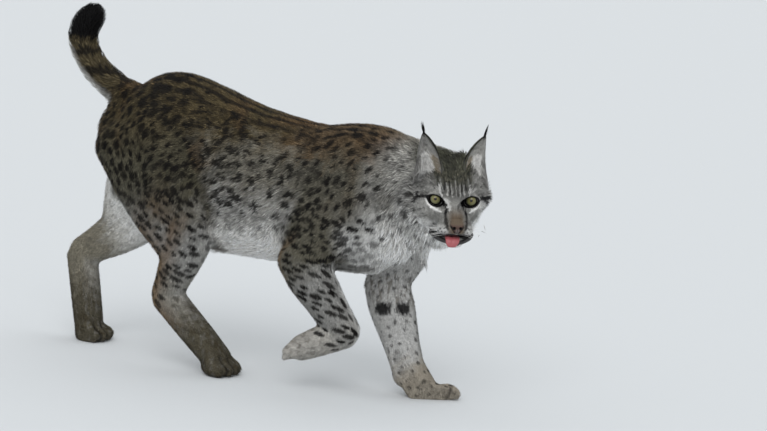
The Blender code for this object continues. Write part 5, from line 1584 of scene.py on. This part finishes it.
def make_whiskers(draws, material):
    """White whiskers in four rows on each pad and four over each eye: long thin blades that sweep out and
    back and bend down."""
    roots, flows, sizes, droops = [], [], [], []
    for out in SIDES.values():
        for row, (z, count) in enumerate(((-46, 3), (-49, 4), (-53, 4), (-57, 3))):
            for i in range(count):
                y = 14 + 5.2 * i + draws.uniform(-1, 1)
                x = 52 - 0.020 * y * y - 0.25 * y
                roots.append((x, out * y, z + draws.uniform(-1, 1)))
                flows.append((-0.10 - 0.22 * i, out, 0.04 - 0.07 * row + draws.uniform(-0.1, 0.1)))
                sizes.append(draws.uniform(30, 44))
                droops.append((-14, 0, -4 - 2 * row))
    for out in SIDES.values():
        for i in range(4):
            roots.append((8, out * (24 + 2 * i), 17))
            flows.append((0.35, out * (0.25 + 0.2 * i), 1.0))
            sizes.append(draws.uniform(16, 26))
            droops.append((-8, out * 3, 0))
    roots, flows, sizes, droops = (np.array(v, float) for v in (roots, flows, sizes, droops))
    count = len(roots)
    flow = unit(flows) @ HEAD_TURN.T
    normal = flattened(np.tile(HEAD_TURN @ np.array((0.6, 0, 0.8)), (count, 1)), flow)
    piece = tuft_mesh("whiskers", from_head(roots / 1000), normal, flow, sizes / 1000, np.full(count, 0.00055),
                      np.zeros(count), np.tile(WHITE, (count, 1)), np.full((count, 2), 0.5), rings=5,
                      sink=0.001, droop=droops / 1000 @ HEAD_TURN.T)
    worn(piece, material, "coat_head", "head")


def make_ruff(obj, coat, material, draws):
    """The ruff: long locks from below the ears round to the throat, that stand off the cheeks, lie back and
    hang."""
    x, y, z = to_head(coat.points).T
    share = smooth(-x, 0.028, 0.046) * smooth(x, -0.112, -0.090)
    share = share * smooth(0.030 - z, 0, 0.02) * coat.masks["head"]
    share *= 1 - smooth(y, 0.015, 0.032) * smooth(-z, -0.015, 0.010)
    place, near, uv = rooted(obj, coat, share * RUFF_DENSITY, draws)
    local = to_head(place)
    normals = coat.normals[near]
    count = len(place)
    low = smooth(-local[:, 2], 0.0, 0.09)
    back = np.stack([np.full(count, -0.80), 0 * low, -0.30 - 0.30 * low], 1)
    flow = unit((normals @ HEAD_TURN) * 0.30 + back + draws.normal(0, 0.08, (count, 3)))
    flow = unit(flow @ HEAD_TURN.T + drifts(place, 0.020, (91, 92, 93)) * 0.16)
    length = (0.027 + 0.007 * low) * draws.uniform(0.70, 1.10, count)
    length *= 1 - 0.60 * smooth(local[:, 1], 0.0, 0.03)
    width = 0.0019 * draws.uniform(0.8, 1.3, count)
    droop = np.stack([0 * low, 0 * low, -0.16 * length], 1) - normals * (0.10 * length)[:, None]
    steps = [flow * (length * s)[:, None] for s in (0.0, 0.3, 0.6, 0.85)]
    colour = np.stack([coloured(coat, place, near, step) for step in steps], 1)
    colour *= np.exp(draws.normal(0, 0.20, count))[:, None, None]
    piece = tuft_mesh("ruff", place, flattened(normals, flow), flow, length, width, np.zeros(count), colour, uv,
                      rings=3, sink=0.0, droop=droop)
    worn(piece, material, "coat_head", "head")


bpy.context.scene.view_settings.view_transform = "Standard"
camera()
stage()
coat = make_coat()
streaks = streak_group()
skin_finish = coat_material("skin under the coat", streaks, 0.25, 500.0, 0.8, bump=0.0008)
coat_finish = coat_material("coat", streaks, 0.18, 260.0, 0.72)
eye_finish = eye_material()
skin = finished_skin(coat, skin_finish)
grow_coat(skin, coat, coat_finish)
make_ruff(skin, coat, coat_finish, np.random.default_rng(23))
for side in SIDES:
    make_ear(side, skin_finish, coat_finish, np.random.default_rng(29))
    make_eye(side, eye_finish)
    make_lids(side, coat, skin_finish)
make_nose(streaks)
make_mouth(streaks)
make_whiskers(np.random.default_rng(37), coat_finish)
